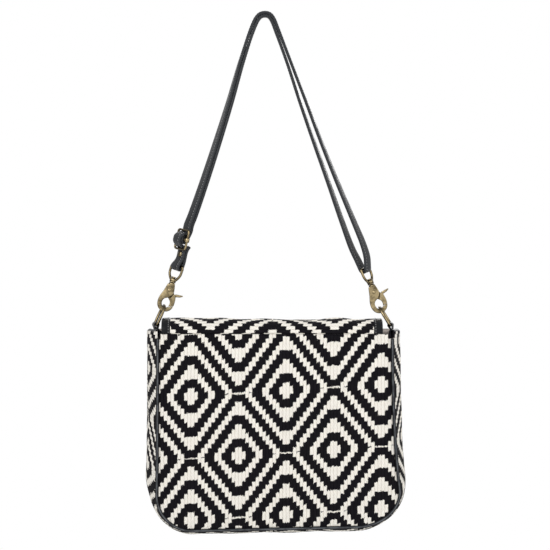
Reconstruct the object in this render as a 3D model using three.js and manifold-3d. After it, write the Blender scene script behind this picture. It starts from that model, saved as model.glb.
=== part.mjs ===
// A flap-top shoulder bag of woven cotton with leather trim, hanging by its strap.
// Millimetres, +Z up, +X to the right of someone facing the plain back of the bag, +Y through
// the bag to its flap side. The origin is the underside of the strap's crown, where a peg holds it.
import * as THREE from "three";
import { mergeVertices } from "three/addons/utils/BufferGeometryUtils.js";
import Module from "manifold-3d";

const wasm = await Module();
wasm.setup();

// Driving dimensions
const CLEARANCE = 0.3; // between pieces that touch
const BAG_X = 10.8; // middle of the bag from the crown of the strap
const BAG_DROP = 559; // underside of the bag below the crown of the strap
const SEAM_Y = 31; // each panel's seam from the middle plane
const PANEL_TOP = 214;
const PANEL_BULGE = 6;
const CLOTH = 2.4; // backed cloth of the panels and the gusset
const GUSSET_BULGE = 3;
const WEFT = 0.6; // how far the black bands of the weave stand up from the cream ground
const COLUMN = 3.67; // width of one rib of the weave
const ROW = 4.79; // height of one step of the pattern
const DIAMOND = 14; // ribs and rows from the middle of a diamond to the middle of the next
const WEAVE_RISE = 0.063; // how far the pattern climbs to the right across a panel
const GUSSET_RISE = 3; // how far the gusset stands above the tops of the panels
const GUSSET_TOP = PANEL_TOP + GUSSET_RISE;
const PIPING_R = 1.7;
const LINING_THICK = 1.2;
const LINING_RISE = 5;
const LINING_TOP = PANEL_TOP + LINING_RISE;
const LINING_FLOOR = 10;
const BINDING_THICK = 1.4; // leather folded over the top edge of the gusset
const BINDING_DEEP = 6;
const FLAP_THICK = 2.6;
const FLAP_GAP = { left: 3.8, right: 10.4 }; // from an end of the back seam to the flap's edge
const FLAP_RIM = 9.7; // leather strip round the flap
const FLAP_RIM_THICK = 3.8;
const FLAP_CORNER = 34;
const FLAP_HEM = 84; // lower edge of the flap above the underside of the bag
const SNAP_R = 7;
const SNAP_THICK = 1.6;
const SNAP_HEIGHT = 108;
const RING_WIRE_R = 1.5;
const RING_R = 11.5; // middle of the wire
const RING_HEIGHT = 23;
const TAB_WIDTH = 17;
const TAB_THICK = 2.2;
const TAB_DEEP = 22;
const STRAP_WIDTH = 12;
const STRAP_THICK = 3.2;
const CLASP_THICK = 4.8;
const BAIL_WIRE_R = 1.4;
const BAIL_WIDTH = 17; // middle of the wire
const BAIL_HEIGHT = 19.5; // middle of its bar above the collar
const STUD_R = 1.7;
const LEVER_THICK = 2;
const PIN_R = 1.1;
const SLIDER_WIDTH = 18.4; // middle of the wire
const SLIDER_HEIGHT = 21;
const SLIDER_WIRE_R = 1.3;
const RIVET_R = 1.4;
const RIVET_HEAD_R = 3.4;

// Outlines of the two panels from the middle of the bag and its underside. The bag is fuller
// towards its flap side and towards its lower right corner.
const BACK = {
  top: PANEL_TOP,
  left: { top: 126.8, low: 127.8, round: [38, 38], base: 1.4 },
  right: { top: 127, low: 135, round: [48, 38], base: 5.5 },
};
const FRONT = {
  top: PANEL_TOP,
  left: { top: 138.4, low: 139.4, round: [54, 66], base: 0 },
  right: { top: 134.4, low: 139.2, round: [64, 57], base: 2.5 },
};

const flapSide = (side) => BACK[side].top - FLAP_GAP[side];
const FLAP_WIDTH = flapSide("left") + flapSide("right");
const FLAP_MID = (flapSide("right") - flapSide("left")) / 2; // from the middle of the bag

// How far each clasp's collar stands in from the outside of the gusset and above its top, and
// how far its axis leans from upright.
const CLASPS = {
  left: { inset: 23.3, rise: 52.2, lean: 17.8, bailTurn: -40 },
  right: { inset: 28.6, rise: 50, lean: -21.5, bailTurn: 55 },
};
// How far each ring leans from upright, drawn in by the strap.
const RING_LEAN = { left: 24, right: -31.5 };

const COTTON = { color: "#1c1b1d", roughness: 0.92, metalness: 0 };
const LEATHER = { color: "#26282a", roughness: 0.5, metalness: 0 };
const LINING = { color: "#c9ab9a", roughness: 0.9, metalness: 0 };
const BRASS = { color: "#8a7350", roughness: 0.38, metalness: 0.9 };
const STEEL = { color: "#9a9a98", roughness: 0.35, metalness: 1 };

const rad = THREE.MathUtils.degToRad;
const lerp = THREE.MathUtils.lerp;
const V = (x, y, z) => new THREE.Vector3(x, y, z);
const inBag = (x, y, z) => V(x + BAG_X, y, z - BAG_DROP);

const bag = new THREE.Group();

function add(name, geometry, finish, parent = bag) {
  const mesh = new THREE.Mesh(geometry, new THREE.MeshStandardMaterial(finish));
  mesh.name = name;
  parent.add(mesh);
  return mesh;
}

// A closed body through rings of points. An open row of rings is capped at both ends: by a fan,
// or as a strip where the ring is a thin wall, out along one face and back along the other.
function loft(rings, { loop = false, strip = false } = {}) {
  const n = rings[0].length;
  const points = rings.flat();
  const faces = [];
  const at = (i, j) => (i % rings.length) * n + (j % n);
  for (let i = 0; i < (loop ? rings.length : rings.length - 1); i++) {
    for (let j = 0; j < n; j++) {
      faces.push(at(i, j), at(i + 1, j), at(i + 1, j + 1));
      faces.push(at(i, j), at(i + 1, j + 1), at(i, j + 1));
    }
  }
  const cap = (i, turn) => {
    const push = (a, b, c) => faces.push(...(turn ? [a, c, b] : [a, b, c]));
    if (strip) {
      for (let j = 0; j < n / 2 - 1; j++) {
        push(at(i, j), at(i, j + 1), at(i, n - 2 - j));
        push(at(i, j), at(i, n - 2 - j), at(i, n - 1 - j));
      }
      return;
    }
    const middle = rings[i].reduce((sum, p) => sum.add(p), V(0, 0, 0)).divideScalar(n);
    points.push(middle);
    for (let j = 0; j < n; j++) push(points.length - 1, at(i, j), at(i, j + 1));
  };
  if (!loop) {
    cap(0, false);
    cap(rings.length - 1, true);
  }
  const geometry = new THREE.BufferGeometry().setFromPoints(points);
  geometry.setIndex(faces);
  return outward(geometry);
}

// The same surface with its faces pointing out.
function outward(geometry) {
  const p = geometry.getAttribute("position");
  const index = geometry.index.array;
  const corner = (i) => new THREE.Vector3().fromBufferAttribute(p, index[i]);
  let volume = 0;
  for (let i = 0; i < index.length; i += 3) {
    volume += corner(i).dot(corner(i + 1).cross(corner(i + 2)));
  }
  if (volume < 0) {
    for (let i = 0; i < index.length; i += 3) {
      [index[i + 1], index[i + 2]] = [index[i + 2], index[i + 1]];
    }
  }
  geometry.computeVertexNormals();
  return geometry;
}

function solid(geometry) {
  const bare = geometry.clone();
  bare.deleteAttribute("normal");
  bare.deleteAttribute("uv");
  const merged = mergeVertices(bare, 1e-4);
  return new wasm.Manifold(
    new wasm.Mesh({
      numProp: 3,
      vertProperties: new Float32Array(merged.getAttribute("position").array),
      triVerts: new Uint32Array(merged.index.array),
    }),
  );
}

function surface(made) {
  const mesh = made.getMesh();
  const geometry = new THREE.BufferGeometry();
  geometry.setAttribute("position", new THREE.BufferAttribute(mesh.vertProperties, 3));
  geometry.setIndex(new THREE.BufferAttribute(mesh.triVerts, 1));
  geometry.computeVertexNormals();
  return geometry;
}

const join = (...parts) => parts.map(solid).reduce((a, b) => a.add(b));
const cut = (whole, ...tools) => tools.map(solid).reduce((a, b) => a.subtract(b), whole);

// A rod along Y between two values of y.
function rodY(r, x, z, y0, y1, sides = 16) {
  return new THREE.CylinderGeometry(r, r, y1 - y0, sides).translate(x, (y0 + y1) / 2, z);
}

// A rod along Z between two values of z.
function rodZ(r, x, y, z0, z1, sides = 16) {
  return new THREE.CylinderGeometry(r, r, z1 - z0, sides)
    .rotateX(Math.PI / 2)
    .translate(x, y, (z0 + z1) / 2);
}

// A flat shape drawn in x and z, made thick evenly to both sides of y = 0.
function plate(shape, thick, bevel = 0, curveSegments = 8) {
  return new THREE.ExtrudeGeometry(shape, {
    depth: thick - 2 * bevel,
    bevelEnabled: bevel > 0,
    bevelThickness: bevel,
    bevelSize: bevel,
    bevelOffset: -bevel,
    bevelSegments: 2,
    curveSegments,
  })
    .translate(0, 0, bevel - thick / 2)
    .rotateX(Math.PI / 2);
}

// A round wire along a curve through the given points.
function wire(points, r, { loop = false, steps = 40, sides = 8 } = {}) {
  const curve = new THREE.CatmullRomCurve3(points, loop, "centripetal");
  const frames = curve.computeFrenetFrames(steps, loop);
  const rings = [];
  for (let i = 0; i < (loop ? steps : steps + 1); i++) {
    const centre = curve.getPointAt(i / steps);
    const ring = [];
    for (let j = 0; j < sides; j++) {
      const a = (2 * Math.PI * j) / sides;
      ring.push(
        centre
          .clone()
          .addScaledVector(frames.normals[i], r * Math.cos(a))
          .addScaledVector(frames.binormals[i], r * Math.sin(a)),
      );
    }
    rings.push(ring);
  }
  return loft(rings, { loop });
}

// Weave: black bands of concentric diamonds, which stand up a little from the cream ground.
// Each diamond is two rings in a net of bands. The numbers are rows from its middle.
const RINGS = [
  [9.65, 6.95],
  [4.35, 1.65],
];
const NET = 12.15;

// The edge of a diamond, straight or in steps two ribs wide.
function diamond(size, stepped) {
  if (!stepped) return [[0, size], [size, 0], [0, -size], [-size, 0]];
  const quarter = [];
  for (let k = 0; k + 0.5 < size; k += 2) {
    if (k > 0) quarter.push([k, size - k - 0.5]);
    quarter.push([k + 2, size - k - 0.5]);
  }
  const turn = (su, sv) => quarter.map(([u, v]) => [su * u, sv * v]);
  return [...turn(1, 1), ...turn(1, -1).reverse(), ...turn(-1, -1), ...turn(-1, 1).reverse()];
}

// Shapes drawn as seen along an axis, made into prisms from a to b along it and moved to a place.
function prisms(shapes, axis, [a, b], place = V(0, 0, 0)) {
  const made = new THREE.ExtrudeGeometry(shapes, { depth: b - a, bevelEnabled: false });
  if (axis === "y") made.translate(0, 0, -b).rotateX(Math.PI / 2);
  else made.translate(0, 0, a);
  if (axis === "x") made.rotateX(Math.PI / 2).rotateZ(Math.PI / 2);
  return solid(made.translate(place.x, place.y, place.z));
}

// The black bands over a rectangle, with a diamond's middle at x and z.
function bands([x, z], [x0, x1], [z0, z1], axis, span, style = {}) {
  const { stepped = false, turned = false, rise = 0, place } = style;
  const spot = ([u, v], i, j) => {
    const a = (u + i * DIAMOND) * COLUMN;
    const b = (v + j * DIAMOND) * ROW;
    return turned ? new THREE.Vector2(x + b, z + a) : new THREE.Vector2(x + a, z + b + rise * a);
  };
  const reachX = Math.ceil((x1 - x0) / (DIAMOND * COLUMN)) + 2;
  const reachZ = Math.ceil((z1 - z0) / (DIAMOND * COLUMN)) + 2;
  const far = DIAMOND * ROW;
  const meets = (p) => p.x > x0 - far && p.x < x1 + far && p.y > z0 - far && p.y < z1 + far;
  const spread = (size, more) => {
    const list = [];
    for (let i = -reachX; i <= reachX; i++) {
      for (let j = -reachZ; j <= reachZ; j++) {
        if ((i + j) % 2 !== 0 || !meets(spot([0, 0], i, j))) continue;
        list.push(new THREE.Shape(diamond(size, stepped).map((p) => spot(p, i, j))));
      }
    }
    return prisms(list, axis, [span[0] - more, span[1] + more], place);
  };
  const corners = [[x0, z0], [x1, z0], [x1, z1], [x0, z1]].map((p) => new THREE.Vector2(...p));
  const whole = prisms(new THREE.Shape(corners), axis, span, place);
  const rings = RINGS.map(([outer, inner]) => spread(outer, 1).subtract(spread(inner, 2)));
  return rings.reduce((black, ring) => black.add(ring.intersect(whole)), whole.subtract(spread(NET, 1)));
}

// Where the middle of one diamond lies on each panel.
const BACK_DIAMOND = [-90.7, 147];
const FRONT_DIAMOND = [-51.3, 150];

// Bag body
const SIDE_STEPS = 4;
const CORNER_STEPS = 6;
const BASE_STEPS = 3;
const TOP_STEPS = 4;

// How far one side of an outline stands from the middle at height z.
function reach(spec, side, z) {
  const { top, low, round, base } = spec[side];
  const shoulder = base + round[1];
  if (z >= shoulder) {
    const down = (spec.top - z) / (spec.top - shoulder);
    return top + (low - top) * Math.max(down, 0) ** 2.5;
  }
  const dip = Math.min((shoulder - z) / round[1], 1);
  return low - round[0] + round[0] * Math.sqrt(1 - dip * dip);
}

// The outline from its upper left end down, along the base and up to its upper right end,
// with the direction out of the bag at each point.
function outline(spec, top = spec.top) {
  const half = (side, sign) => {
    const { low, round, base } = spec[side];
    const shoulder = base + round[1];
    const points = [];
    for (let i = 0; i <= SIDE_STEPS; i++) {
      const z = lerp(top, shoulder, i / SIDE_STEPS);
      points.push(new THREE.Vector2(sign * reach(spec, side, z), z));
    }
    for (let i = 1; i <= CORNER_STEPS; i++) {
      const a = ((Math.PI / 2) * i) / CORNER_STEPS;
      const x = low - round[0] + round[0] * Math.cos(a);
      points.push(new THREE.Vector2(sign * x, shoulder - round[1] * Math.sin(a)));
    }
    return points;
  };
  const left = half("left", -1);
  const right = half("right", 1).reverse();
  const base = [];
  for (let i = 1; i < BASE_STEPS; i++) {
    base.push(left[left.length - 1].clone().lerp(right[0], i / BASE_STEPS));
  }
  const points = [...left, ...base, ...right];
  return points.map((p, i) => {
    const before = points[Math.max(i - 1, 0)];
    const after = points[Math.min(i + 1, points.length - 1)];
    const along = after.clone().sub(before).normalize();
    return { p, out: new THREE.Vector2(along.y, -along.x) };
  });
}

// A skin of a panel: the outline drawn in to its middle, swelling out of the bag on the way.
function panelSkin(spec, sign, from, to) {
  const inset = PIPING_R + 2 * CLEARANCE;
  const edge = outline(spec).map(({ p, out }) => p.clone().addScaledVector(out, -inset));
  const first = edge[0];
  const last = edge[edge.length - 1];
  for (let i = 1; i < TOP_STEPS; i++) edge.push(last.clone().lerp(first, i / TOP_STEPS));
  const middle = new THREE.Vector2(0, PANEL_TOP / 2);
  const shares = [0.02, 0.5, 0.8, 1];
  const skin = (share, depth) =>
    edge.map((p) => {
      const q = middle.clone().lerp(p, share);
      return inBag(q.x, sign * (SEAM_Y + PANEL_BULGE * (1 - share ** 2.4) - depth), q.y);
    });
  const outer = shares.map((share) => skin(share, from));
  const inner = shares.map((share) => skin(share, to)).reverse();
  return solid(loft([...outer, ...inner]));
}

function panel(spec, sign, middle, high, stepped) {
  const wide = Math.max(spec.left.low, spec.right.low);
  const style = { stepped, rise: WEAVE_RISE, place: inBag(0, 0, 0) };
  const raised = bands(middle, [-wide, wide], [0, high], "y", [-2 * SEAM_Y, 2 * SEAM_Y], style);
  const skin = panelSkin(spec, sign, -WEFT, WEFT);
  return surface(panelSkin(spec, sign, 0, CLOTH).add(skin.intersect(raised)));
}

function piping(spec, sign) {
  const edge = outline(spec).map(({ p }) => inBag(p.x, sign * SEAM_Y, p.y));
  return wire(edge, PIPING_R, { steps: 40, sides: 6 });
}

// A point of the gusset at share u of the way from the back seam to the front one.
function gussetPoint(back, front, u, depth) {
  const p = back.p.clone().lerp(front.p, u);
  const out = back.out.clone().lerp(front.out, u).normalize();
  p.addScaledVector(out, GUSSET_BULGE * Math.sin(Math.PI * u) - depth);
  const reachY = SEAM_Y - Math.max(PIPING_R, CLOTH) - CLEARANCE;
  return inBag(p.x, lerp(-reachY, reachY, u), p.y);
}

function gussetSkin(from, to) {
  const back = outline(BACK, GUSSET_TOP);
  const front = outline(FRONT, GUSSET_TOP);
  const across = [0, 0.25, 0.5, 0.75, 1];
  const rings = back.map((b, i) => [
    ...across.map((u) => gussetPoint(b, front[i], u, from)),
    ...across.map((u) => gussetPoint(b, front[i], u, to)).reverse(),
  ]);
  return solid(loft(rings, { strip: true }));
}

// The bands run up both sides of the gusset and along its base.
const GUSSET_DIAMOND = 176.7; // middle of a diamond above the underside of the bag
const GUSSET_CORNER = 40; // where the bands of a side meet those of the base

function gusset() {
  const wide = SEAM_Y + PIPING_R;
  const far = FRONT.left.low + 2 * GUSSET_BULGE;
  const high = [GUSSET_CORNER, GUSSET_TOP - BINDING_DEEP - 1];
  const near = [GUSSET_CORNER - far, far - GUSSET_CORNER];
  const under = [-2 * GUSSET_BULGE, GUSSET_CORNER];
  const place = inBag(0, 0, 0);
  const side = (span) =>
    bands([0, GUSSET_DIAMOND], [-wide, wide], high, "x", span, { turned: true, place });
  const raised = [
    side([-far, -far / 2]),
    side([far / 2, far]),
    bands([0, 0], near, [-wide, wide], "z", under, { place }),
  ].map((made) => made.intersect(gussetSkin(-WEFT, WEFT)));
  return surface(raised.reduce((a, b) => a.add(b), gussetSkin(0, CLOTH)));
}

// Leather folded over the top edge of the gusset, from seam to seam.
function gussetBinding(end) {
  const back = outline(BACK, GUSSET_TOP).at(end);
  const front = outline(FRONT, GUSSET_TOP).at(end);
  const across = [0.1, 0.23, 0.37, 0.5, 0.63, 0.77, 0.9];
  const rings = across.map((u) => {
    const leaf = (depth, rise) => gussetPoint(back, front, u, depth).add(V(0, 0, rise));
    const shell = (grow, low) => [
      leaf(-grow, low),
      leaf(-grow, grow),
      leaf(CLOTH + grow, grow),
      leaf(CLOTH + grow, low),
    ];
    return [
      ...shell(CLEARANCE + BINDING_THICK, -BINDING_DEEP),
      ...shell(CLEARANCE, -BINDING_DEEP).reverse(),
    ];
  });
  return loft(rings, { strip: true });
}

// The lining: a pouch open at the top, a little narrower than the bag all round.
const LINING_INSET = 4.8;
const LINING_Y = SEAM_Y - CLOTH - 2.2;
const LINING_LEVELS = [0.03, 0.077, 0.153, 0.287, 0.526, 0.766]; // shares of its depth

function lining() {
  const steps = 32;
  const ring = (z, thick) => {
    const points = [];
    for (let i = 0; i < steps; i++) {
      const a = (2 * Math.PI * i) / steps;
      const square = (v) => Math.sign(v) * Math.abs(v) ** 0.34;
      const side = Math.cos(a) < 0 ? "left" : "right";
      const y = (LINING_Y - thick) * square(Math.sin(a));
      const share = (y / SEAM_Y + 1) / 2;
      const out = lerp(reach(BACK, side, z), reach(FRONT, side, z), share) - LINING_INSET;
      points.push(inBag((out - thick) * square(Math.cos(a)), y, z));
    }
    return points;
  };
  const levels = (floor) => [0, ...LINING_LEVELS, 1].map((share) => lerp(floor, LINING_TOP, share));
  return loft([
    ...levels(LINING_FLOOR).map((z) => ring(z, 0)),
    ...levels(LINING_FLOOR + LINING_THICK).reverse().map((z) => ring(z, LINING_THICK)),
  ]);
}

add("back_panel", panel(BACK, -1, BACK_DIAMOND, PANEL_TOP, true), COTTON);
add("front_panel", panel(FRONT, 1, FRONT_DIAMOND, FLAP_HEM + FLAP_RIM, false), COTTON);
add("gusset", gusset(), COTTON);
add("piping_back", piping(BACK, -1), LEATHER);
add("piping_front", piping(FRONT, 1), LEATHER);
add("gusset_binding_left", gussetBinding(0), LEATHER);
add("gusset_binding_right", gussetBinding(-1), LEATHER);
add("lining", lining(), LINING);

// Flap: sewn to the top of the back panel, over the mouth and down the front.
const SNAP_SEAT = SEAM_Y + PANEL_BULGE + WEFT + CLEARANCE;
const FLAP_INNER_Y =
  SNAP_SEAT + 2 * SNAP_THICK + 2 * CLEARANCE + (FLAP_RIM_THICK - FLAP_THICK) / 2;

// The middle of the flap seen from the side, from the seam to the hem.
function flapLine() {
  const y = FLAP_INNER_Y + FLAP_THICK / 2;
  const top = PANEL_TOP + CLEARANCE;
  const back = SEAM_Y - CLOTH / 2;
  return new THREE.SplineCurve(
    [
      [-back, top],
      [-back + 1.6, top + 7],
      [-back + 8, top + 12.6],
      [-10, top + 14.6],
      [8, top + 14.8],
      [y - 18, top + 12.2],
      [y - 7.5, top + 5],
      [y - 2.2, top - 8],
      [y - 0.3, lerp(top, FLAP_HEM, 0.23)],
      [y, lerp(top, FLAP_HEM, 0.46)],
      [y, lerp(top, FLAP_HEM, 0.73)],
      [y, FLAP_HEM],
    ].map(([a, b]) => new THREE.Vector2(a, b)),
  );
}

const FLAP_STEPS = 22;

// The bent strip of the flap seen from the side, between two distances from its middle.
function flapProfile(from, to) {
  const curve = flapLine();
  const steps = FLAP_STEPS;
  const outer = [];
  const inner = [];
  for (let i = 0; i <= steps; i++) {
    const p = curve.getPointAt(i / steps);
    const along = i === 0 ? new THREE.Vector2(0, 1) : curve.getTangentAt(i / steps);
    const side = new THREE.Vector2(-along.y, along.x);
    outer.push(p.clone().addScaledVector(side, to));
    inner.push(p.clone().addScaledVector(side, from));
  }
  return new THREE.Shape([...outer, ...inner.reverse()]);
}

// The bent strip across a width, with its lower corners rounded.
function flapBlank(from, to, width, hem, corner) {
  const profile = flapProfile(from, to);
  const strip = new THREE.ExtrudeGeometry(profile, { depth: width, bevelEnabled: false });
  strip.rotateX(Math.PI / 2).rotateZ(Math.PI / 2);
  strip.translate(-width / 2, 0, 0);
  const w = width / 2;
  const above = 2 * PANEL_TOP;
  const outlineShape = new THREE.Shape();
  outlineShape.moveTo(-w, above);
  outlineShape.lineTo(-w, hem + corner);
  outlineShape.absarc(-w + corner, hem + corner, corner, Math.PI, 1.5 * Math.PI, false);
  outlineShape.absarc(w - corner, hem + corner, corner, 1.5 * Math.PI, 2 * Math.PI, false);
  outlineShape.lineTo(w, above);
  const prism = plate(outlineShape, 6 * SEAM_Y, 0, 8);
  return solid(strip).intersect(solid(prism));
}

const FLAP_DIAMOND = -66.5; // middle of a diamond from the middle of the flap
const FLAP_FOLD = SEAM_Y; // where the bands over the mouth meet those down the front

function flapParts() {
  const inner = FLAP_WIDTH - 2 * FLAP_RIM;
  const innerCorner = FLAP_CORNER - FLAP_RIM;
  const clothEdge = [inner, FLAP_HEM + FLAP_RIM, innerCorner];
  const h = FLAP_THICK / 2;
  const cloth = flapBlank(-h, h, ...clothEdge);
  const gap = CLEARANCE;
  const r = FLAP_RIM_THICK / 2;
  const grown = [inner + 2 * gap, FLAP_HEM + FLAP_RIM - gap, innerCorner + gap];
  const room = flapBlank(-r - 1, r + 1, ...grown);
  const rim = flapBlank(-r, r, FLAP_WIDTH, FLAP_HEM, FLAP_CORNER).subtract(room);

  const wide = [-inner / 2, inner / 2];
  const middle = [FLAP_DIAMOND, 0];
  const turned = { turned: true };
  const high = [PANEL_TOP + CLEARANCE + 1, 2 * PANEL_TOP];
  const raised = [
    bands(middle, wide, [-2 * SEAM_Y, FLAP_FOLD], "z", high, turned),
    bands(middle, wide, [0, PANEL_TOP], "y", [FLAP_FOLD, 3 * SEAM_Y], turned),
  ].map((made) => flapBlank(0, h + WEFT, ...clothEdge).intersect(made));
  return {
    cloth: surface(raised.reduce((a, b) => a.add(b), cloth)),
    rim: surface(rim),
  };
}

const flap = flapParts();
for (const geometry of [flap.cloth, flap.rim]) {
  geometry.translate(BAG_X + FLAP_MID, 0, -BAG_DROP);
}
add("flap", flap.cloth, COTTON);
add("flap_binding", flap.rim, LEATHER);

// Magnetic snap under the flap, half on each cloth.
for (const [name, y] of [
  ["snap_socket", SNAP_SEAT],
  ["snap_stud", SNAP_SEAT + SNAP_THICK + CLEARANCE],
]) {
  const at = inBag(0, 0, SNAP_HEIGHT);
  add(name, rodY(SNAP_R, at.x, at.z, y, y + SNAP_THICK, 24), STEEL);
}

// Tabs and rings at the ends of the gusset
const TAB_HOLE = RING_WIRE_R + CLEARANCE;
const TAB_LOOP = TAB_HOLE + TAB_THICK;

// How far a piece stands out from the middle of the bag at the top of the gusset, halfway
// between the seams: the outside of the gusset there.
function gussetOutside(side) {
  return (reach(BACK, side, GUSSET_TOP) + reach(FRONT, side, GUSSET_TOP)) / 2 + GUSSET_BULGE;
}

// The turn about Z that sets a piece along the gusset, which widens towards the flap side.
function gussetTurn(side) {
  const sign = side === "left" ? 1 : -1;
  const wider = reach(FRONT, side, GUSSET_TOP) - reach(BACK, side, GUSSET_TOP);
  return sign * Math.atan(wider / (2 * SEAM_Y));
}

// A leather tab folded round the bar of its ring at the origin, its leg inside the gusset.
function tab(side, bar) {
  const sign = side === "left" ? -1 : 1;
  const behind = CLOTH + 3.4 * CLEARANCE + BINDING_THICK + TAB_THICK / 2;
  const leg = sign * (gussetOutside(side) - behind) - bar.x;
  const low = GUSSET_TOP - TAB_DEEP - bar.z;
  const bend = -TAB_LOOP - 1;
  const shape = new THREE.Shape();
  const h = TAB_THICK / 2;
  const wide = new THREE.Vector2(-bend, leg).normalize().multiplyScalar(h * 1.5);
  shape.moveTo(leg - h, low);
  shape.lineTo(leg + h, low);
  shape.lineTo(leg + h, bend);
  shape.lineTo(wide.x, wide.y);
  shape.lineTo(-wide.x, -wide.y);
  shape.lineTo(leg - h, bend);
  const half = TAB_WIDTH / 2;
  const made = cut(
    join(plate(shape, TAB_WIDTH), rodY(TAB_LOOP, 0, 0, -half, half, 20)),
    rodY(TAB_HOLE, 0, 0, -half - 1, half + 1, 16),
  );
  return surface(made);
}

// A D-shaped ring standing on its bar, its plane across the bag.
function dRing() {
  const r = RING_R;
  const straight = RING_HEIGHT - r;
  const corner = 3;
  const points = [V(0, 0, 0), V(0, r - corner, 0), V(0, r - 0.9, 0.9), V(0, r, corner)];
  for (let i = 0; i <= 8; i++) {
    const a = (Math.PI * i) / 8;
    points.push(V(0, r * Math.cos(a), straight + r * Math.sin(a)));
  }
  points.push(V(0, -r, corner), V(0, -r + 0.9, 0.9), V(0, -r + corner, 0));
  return wire(points, RING_WIRE_R, { loop: true, steps: 34, sides: 8 });
}

// Swivel clasps. Each is drawn upright about its collar at the origin, seen from the back of
// the bag, with its thumb lever to the right.
const EYE = { x: 0, z: -22.6, rx: 4.3, rz: 5.3 };
const HOOK_LOW = -32.4;
const PIVOT = { x: -0.4, z: -8.2 };
const COLLAR_HIGH = 5;
const COLLAR_R = 3.7;
const BAIL_GAP = 0.5; // between collar and hook
const RING_SEAT = { x: -0.5, z: EYE.z - EYE.rz + RING_WIRE_R + 0.6 };

function arcPoint(cx, cz, rx, rz, degrees) {
  return [cx + rx * Math.cos(rad(degrees)), cz + rz * Math.sin(rad(degrees))];
}

// The cast hook: a neck that holds the pivot, sweeping down the left of the eye to its nose.
function hookShape() {
  const s = new THREE.Shape();
  s.moveTo(-3.4, 0);
  s.bezierCurveTo(-4.6, -3, -5.2, -6, -6.2, -10);
  s.bezierCurveTo(-7.4, -14, -9.2, -17, -9.2, -22);
  s.bezierCurveTo(-9.2, -28.5, -5.2, HOOK_LOW, -0.4, HOOK_LOW);
  s.bezierCurveTo(4.4, HOOK_LOW, 8.2, -29.4, 8.8, -24.7);
  const nose = arcPoint(EYE.x, EYE.z, EYE.rx, EYE.rz, -57);
  s.lineTo(nose[0], nose[1]);
  for (let i = 1; i <= 12; i++) {
    const [x, z] = arcPoint(EYE.x, EYE.z, EYE.rx, EYE.rz, -57 - (i * 198) / 12);
    s.lineTo(x, z);
  }
  s.bezierCurveTo(3, -15.6, 4.6, -13, 5.2, -10.6);
  s.bezierCurveTo(5.2, -7.5, 4.4, -4, 3.4, 0);
  return s;
}

// The gate: a crescent that closes the right side of the eye, with a thumb piece at its top.
function gateShape() {
  const s = new THREE.Shape();
  const gap = CLEARANCE + 0.1;
  s.moveTo(7.8, -10.9);
  s.bezierCurveTo(8.8, -14.6, 9.3, -18, 9.3, -21.6);
  s.lineTo(9, -24);
  for (let i = 0; i <= 7; i++) {
    const [x, z] = arcPoint(EYE.x, EYE.z, EYE.rx, EYE.rz, -36 + (i * 95) / 7);
    s.lineTo(x, z);
  }
  s.bezierCurveTo(3.6, -16, 5, -13.6, 5.2 + gap, -10.9);
  return s;
}

// The gate's tongue inside the hook's slot, from its eye round the pivot pin to the crescent.
function tongueShape(grow, swing = 0) {
  const s = new THREE.Shape();
  s.moveTo(PIVOT.x - 1.6 - grow, PIVOT.z + 2.6 + grow);
  s.lineTo(PIVOT.x + 2.4 + grow, PIVOT.z + 2.2 + grow);
  s.lineTo(7.4 + grow, -12.6 + grow);
  s.lineTo(7.8 + grow, -15.6 - grow);
  s.lineTo(4.6 - grow - swing, -17.6 - grow);
  s.lineTo(PIVOT.x - 2.4 - grow, PIVOT.z - 2 - grow);
  return s;
}

function claspParts() {
  const half = CLASP_THICK / 2;
  const head = COLLAR_HIGH + BAIL_GAP + CLEARANCE;
  const slot = plate(tongueShape(0.9, 1.2), LEVER_THICK + 2 * CLEARANCE);
  const pinHole = rodY(PIN_R + 0.15, PIVOT.x, PIVOT.z, -half - 2, half + 2, 12);
  const hook = cut(
    join(
      plate(hookShape(), CLASP_THICK, 0.9, 5),
      rodZ(3.3, 0, 0, -1.6, 0, 12),
      rodZ(STUD_R, 0, 0, -2, head + 1, 12),
      rodZ(STUD_R + 1, 0, 0, head, head + 1.3, 12),
    ),
    slot,
    pinHole,
  );
  const thumb = new THREE.BoxGeometry(9.4, CLASP_THICK - 1.2, 1.7, 2, 1, 1)
    .rotateY(rad(-4))
    .translate(6.2 + 4.7, 0, -12.1);
  const gateHole = rodY(PIN_R + 0.15, PIVOT.x, PIVOT.z, -half, half, 12);
  const gate = cut(
    join(plate(gateShape(), CLASP_THICK, 0.6, 5), plate(tongueShape(0), LEVER_THICK), thumb),
    gateHole,
  );
  const pin = join(
    rodY(PIN_R, PIVOT.x, PIVOT.z, -half - 0.5, half + 0.5, 12),
    rodY(1.9, PIVOT.x, PIVOT.z, half + CLEARANCE, half + CLEARANCE + 0.5, 12),
    rodY(1.9, PIVOT.x, PIVOT.z, -half - CLEARANCE - 0.5, -half - CLEARANCE, 12),
  );
  return { hook: surface(hook), gate: surface(gate), pin: surface(pin) };
}

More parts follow.
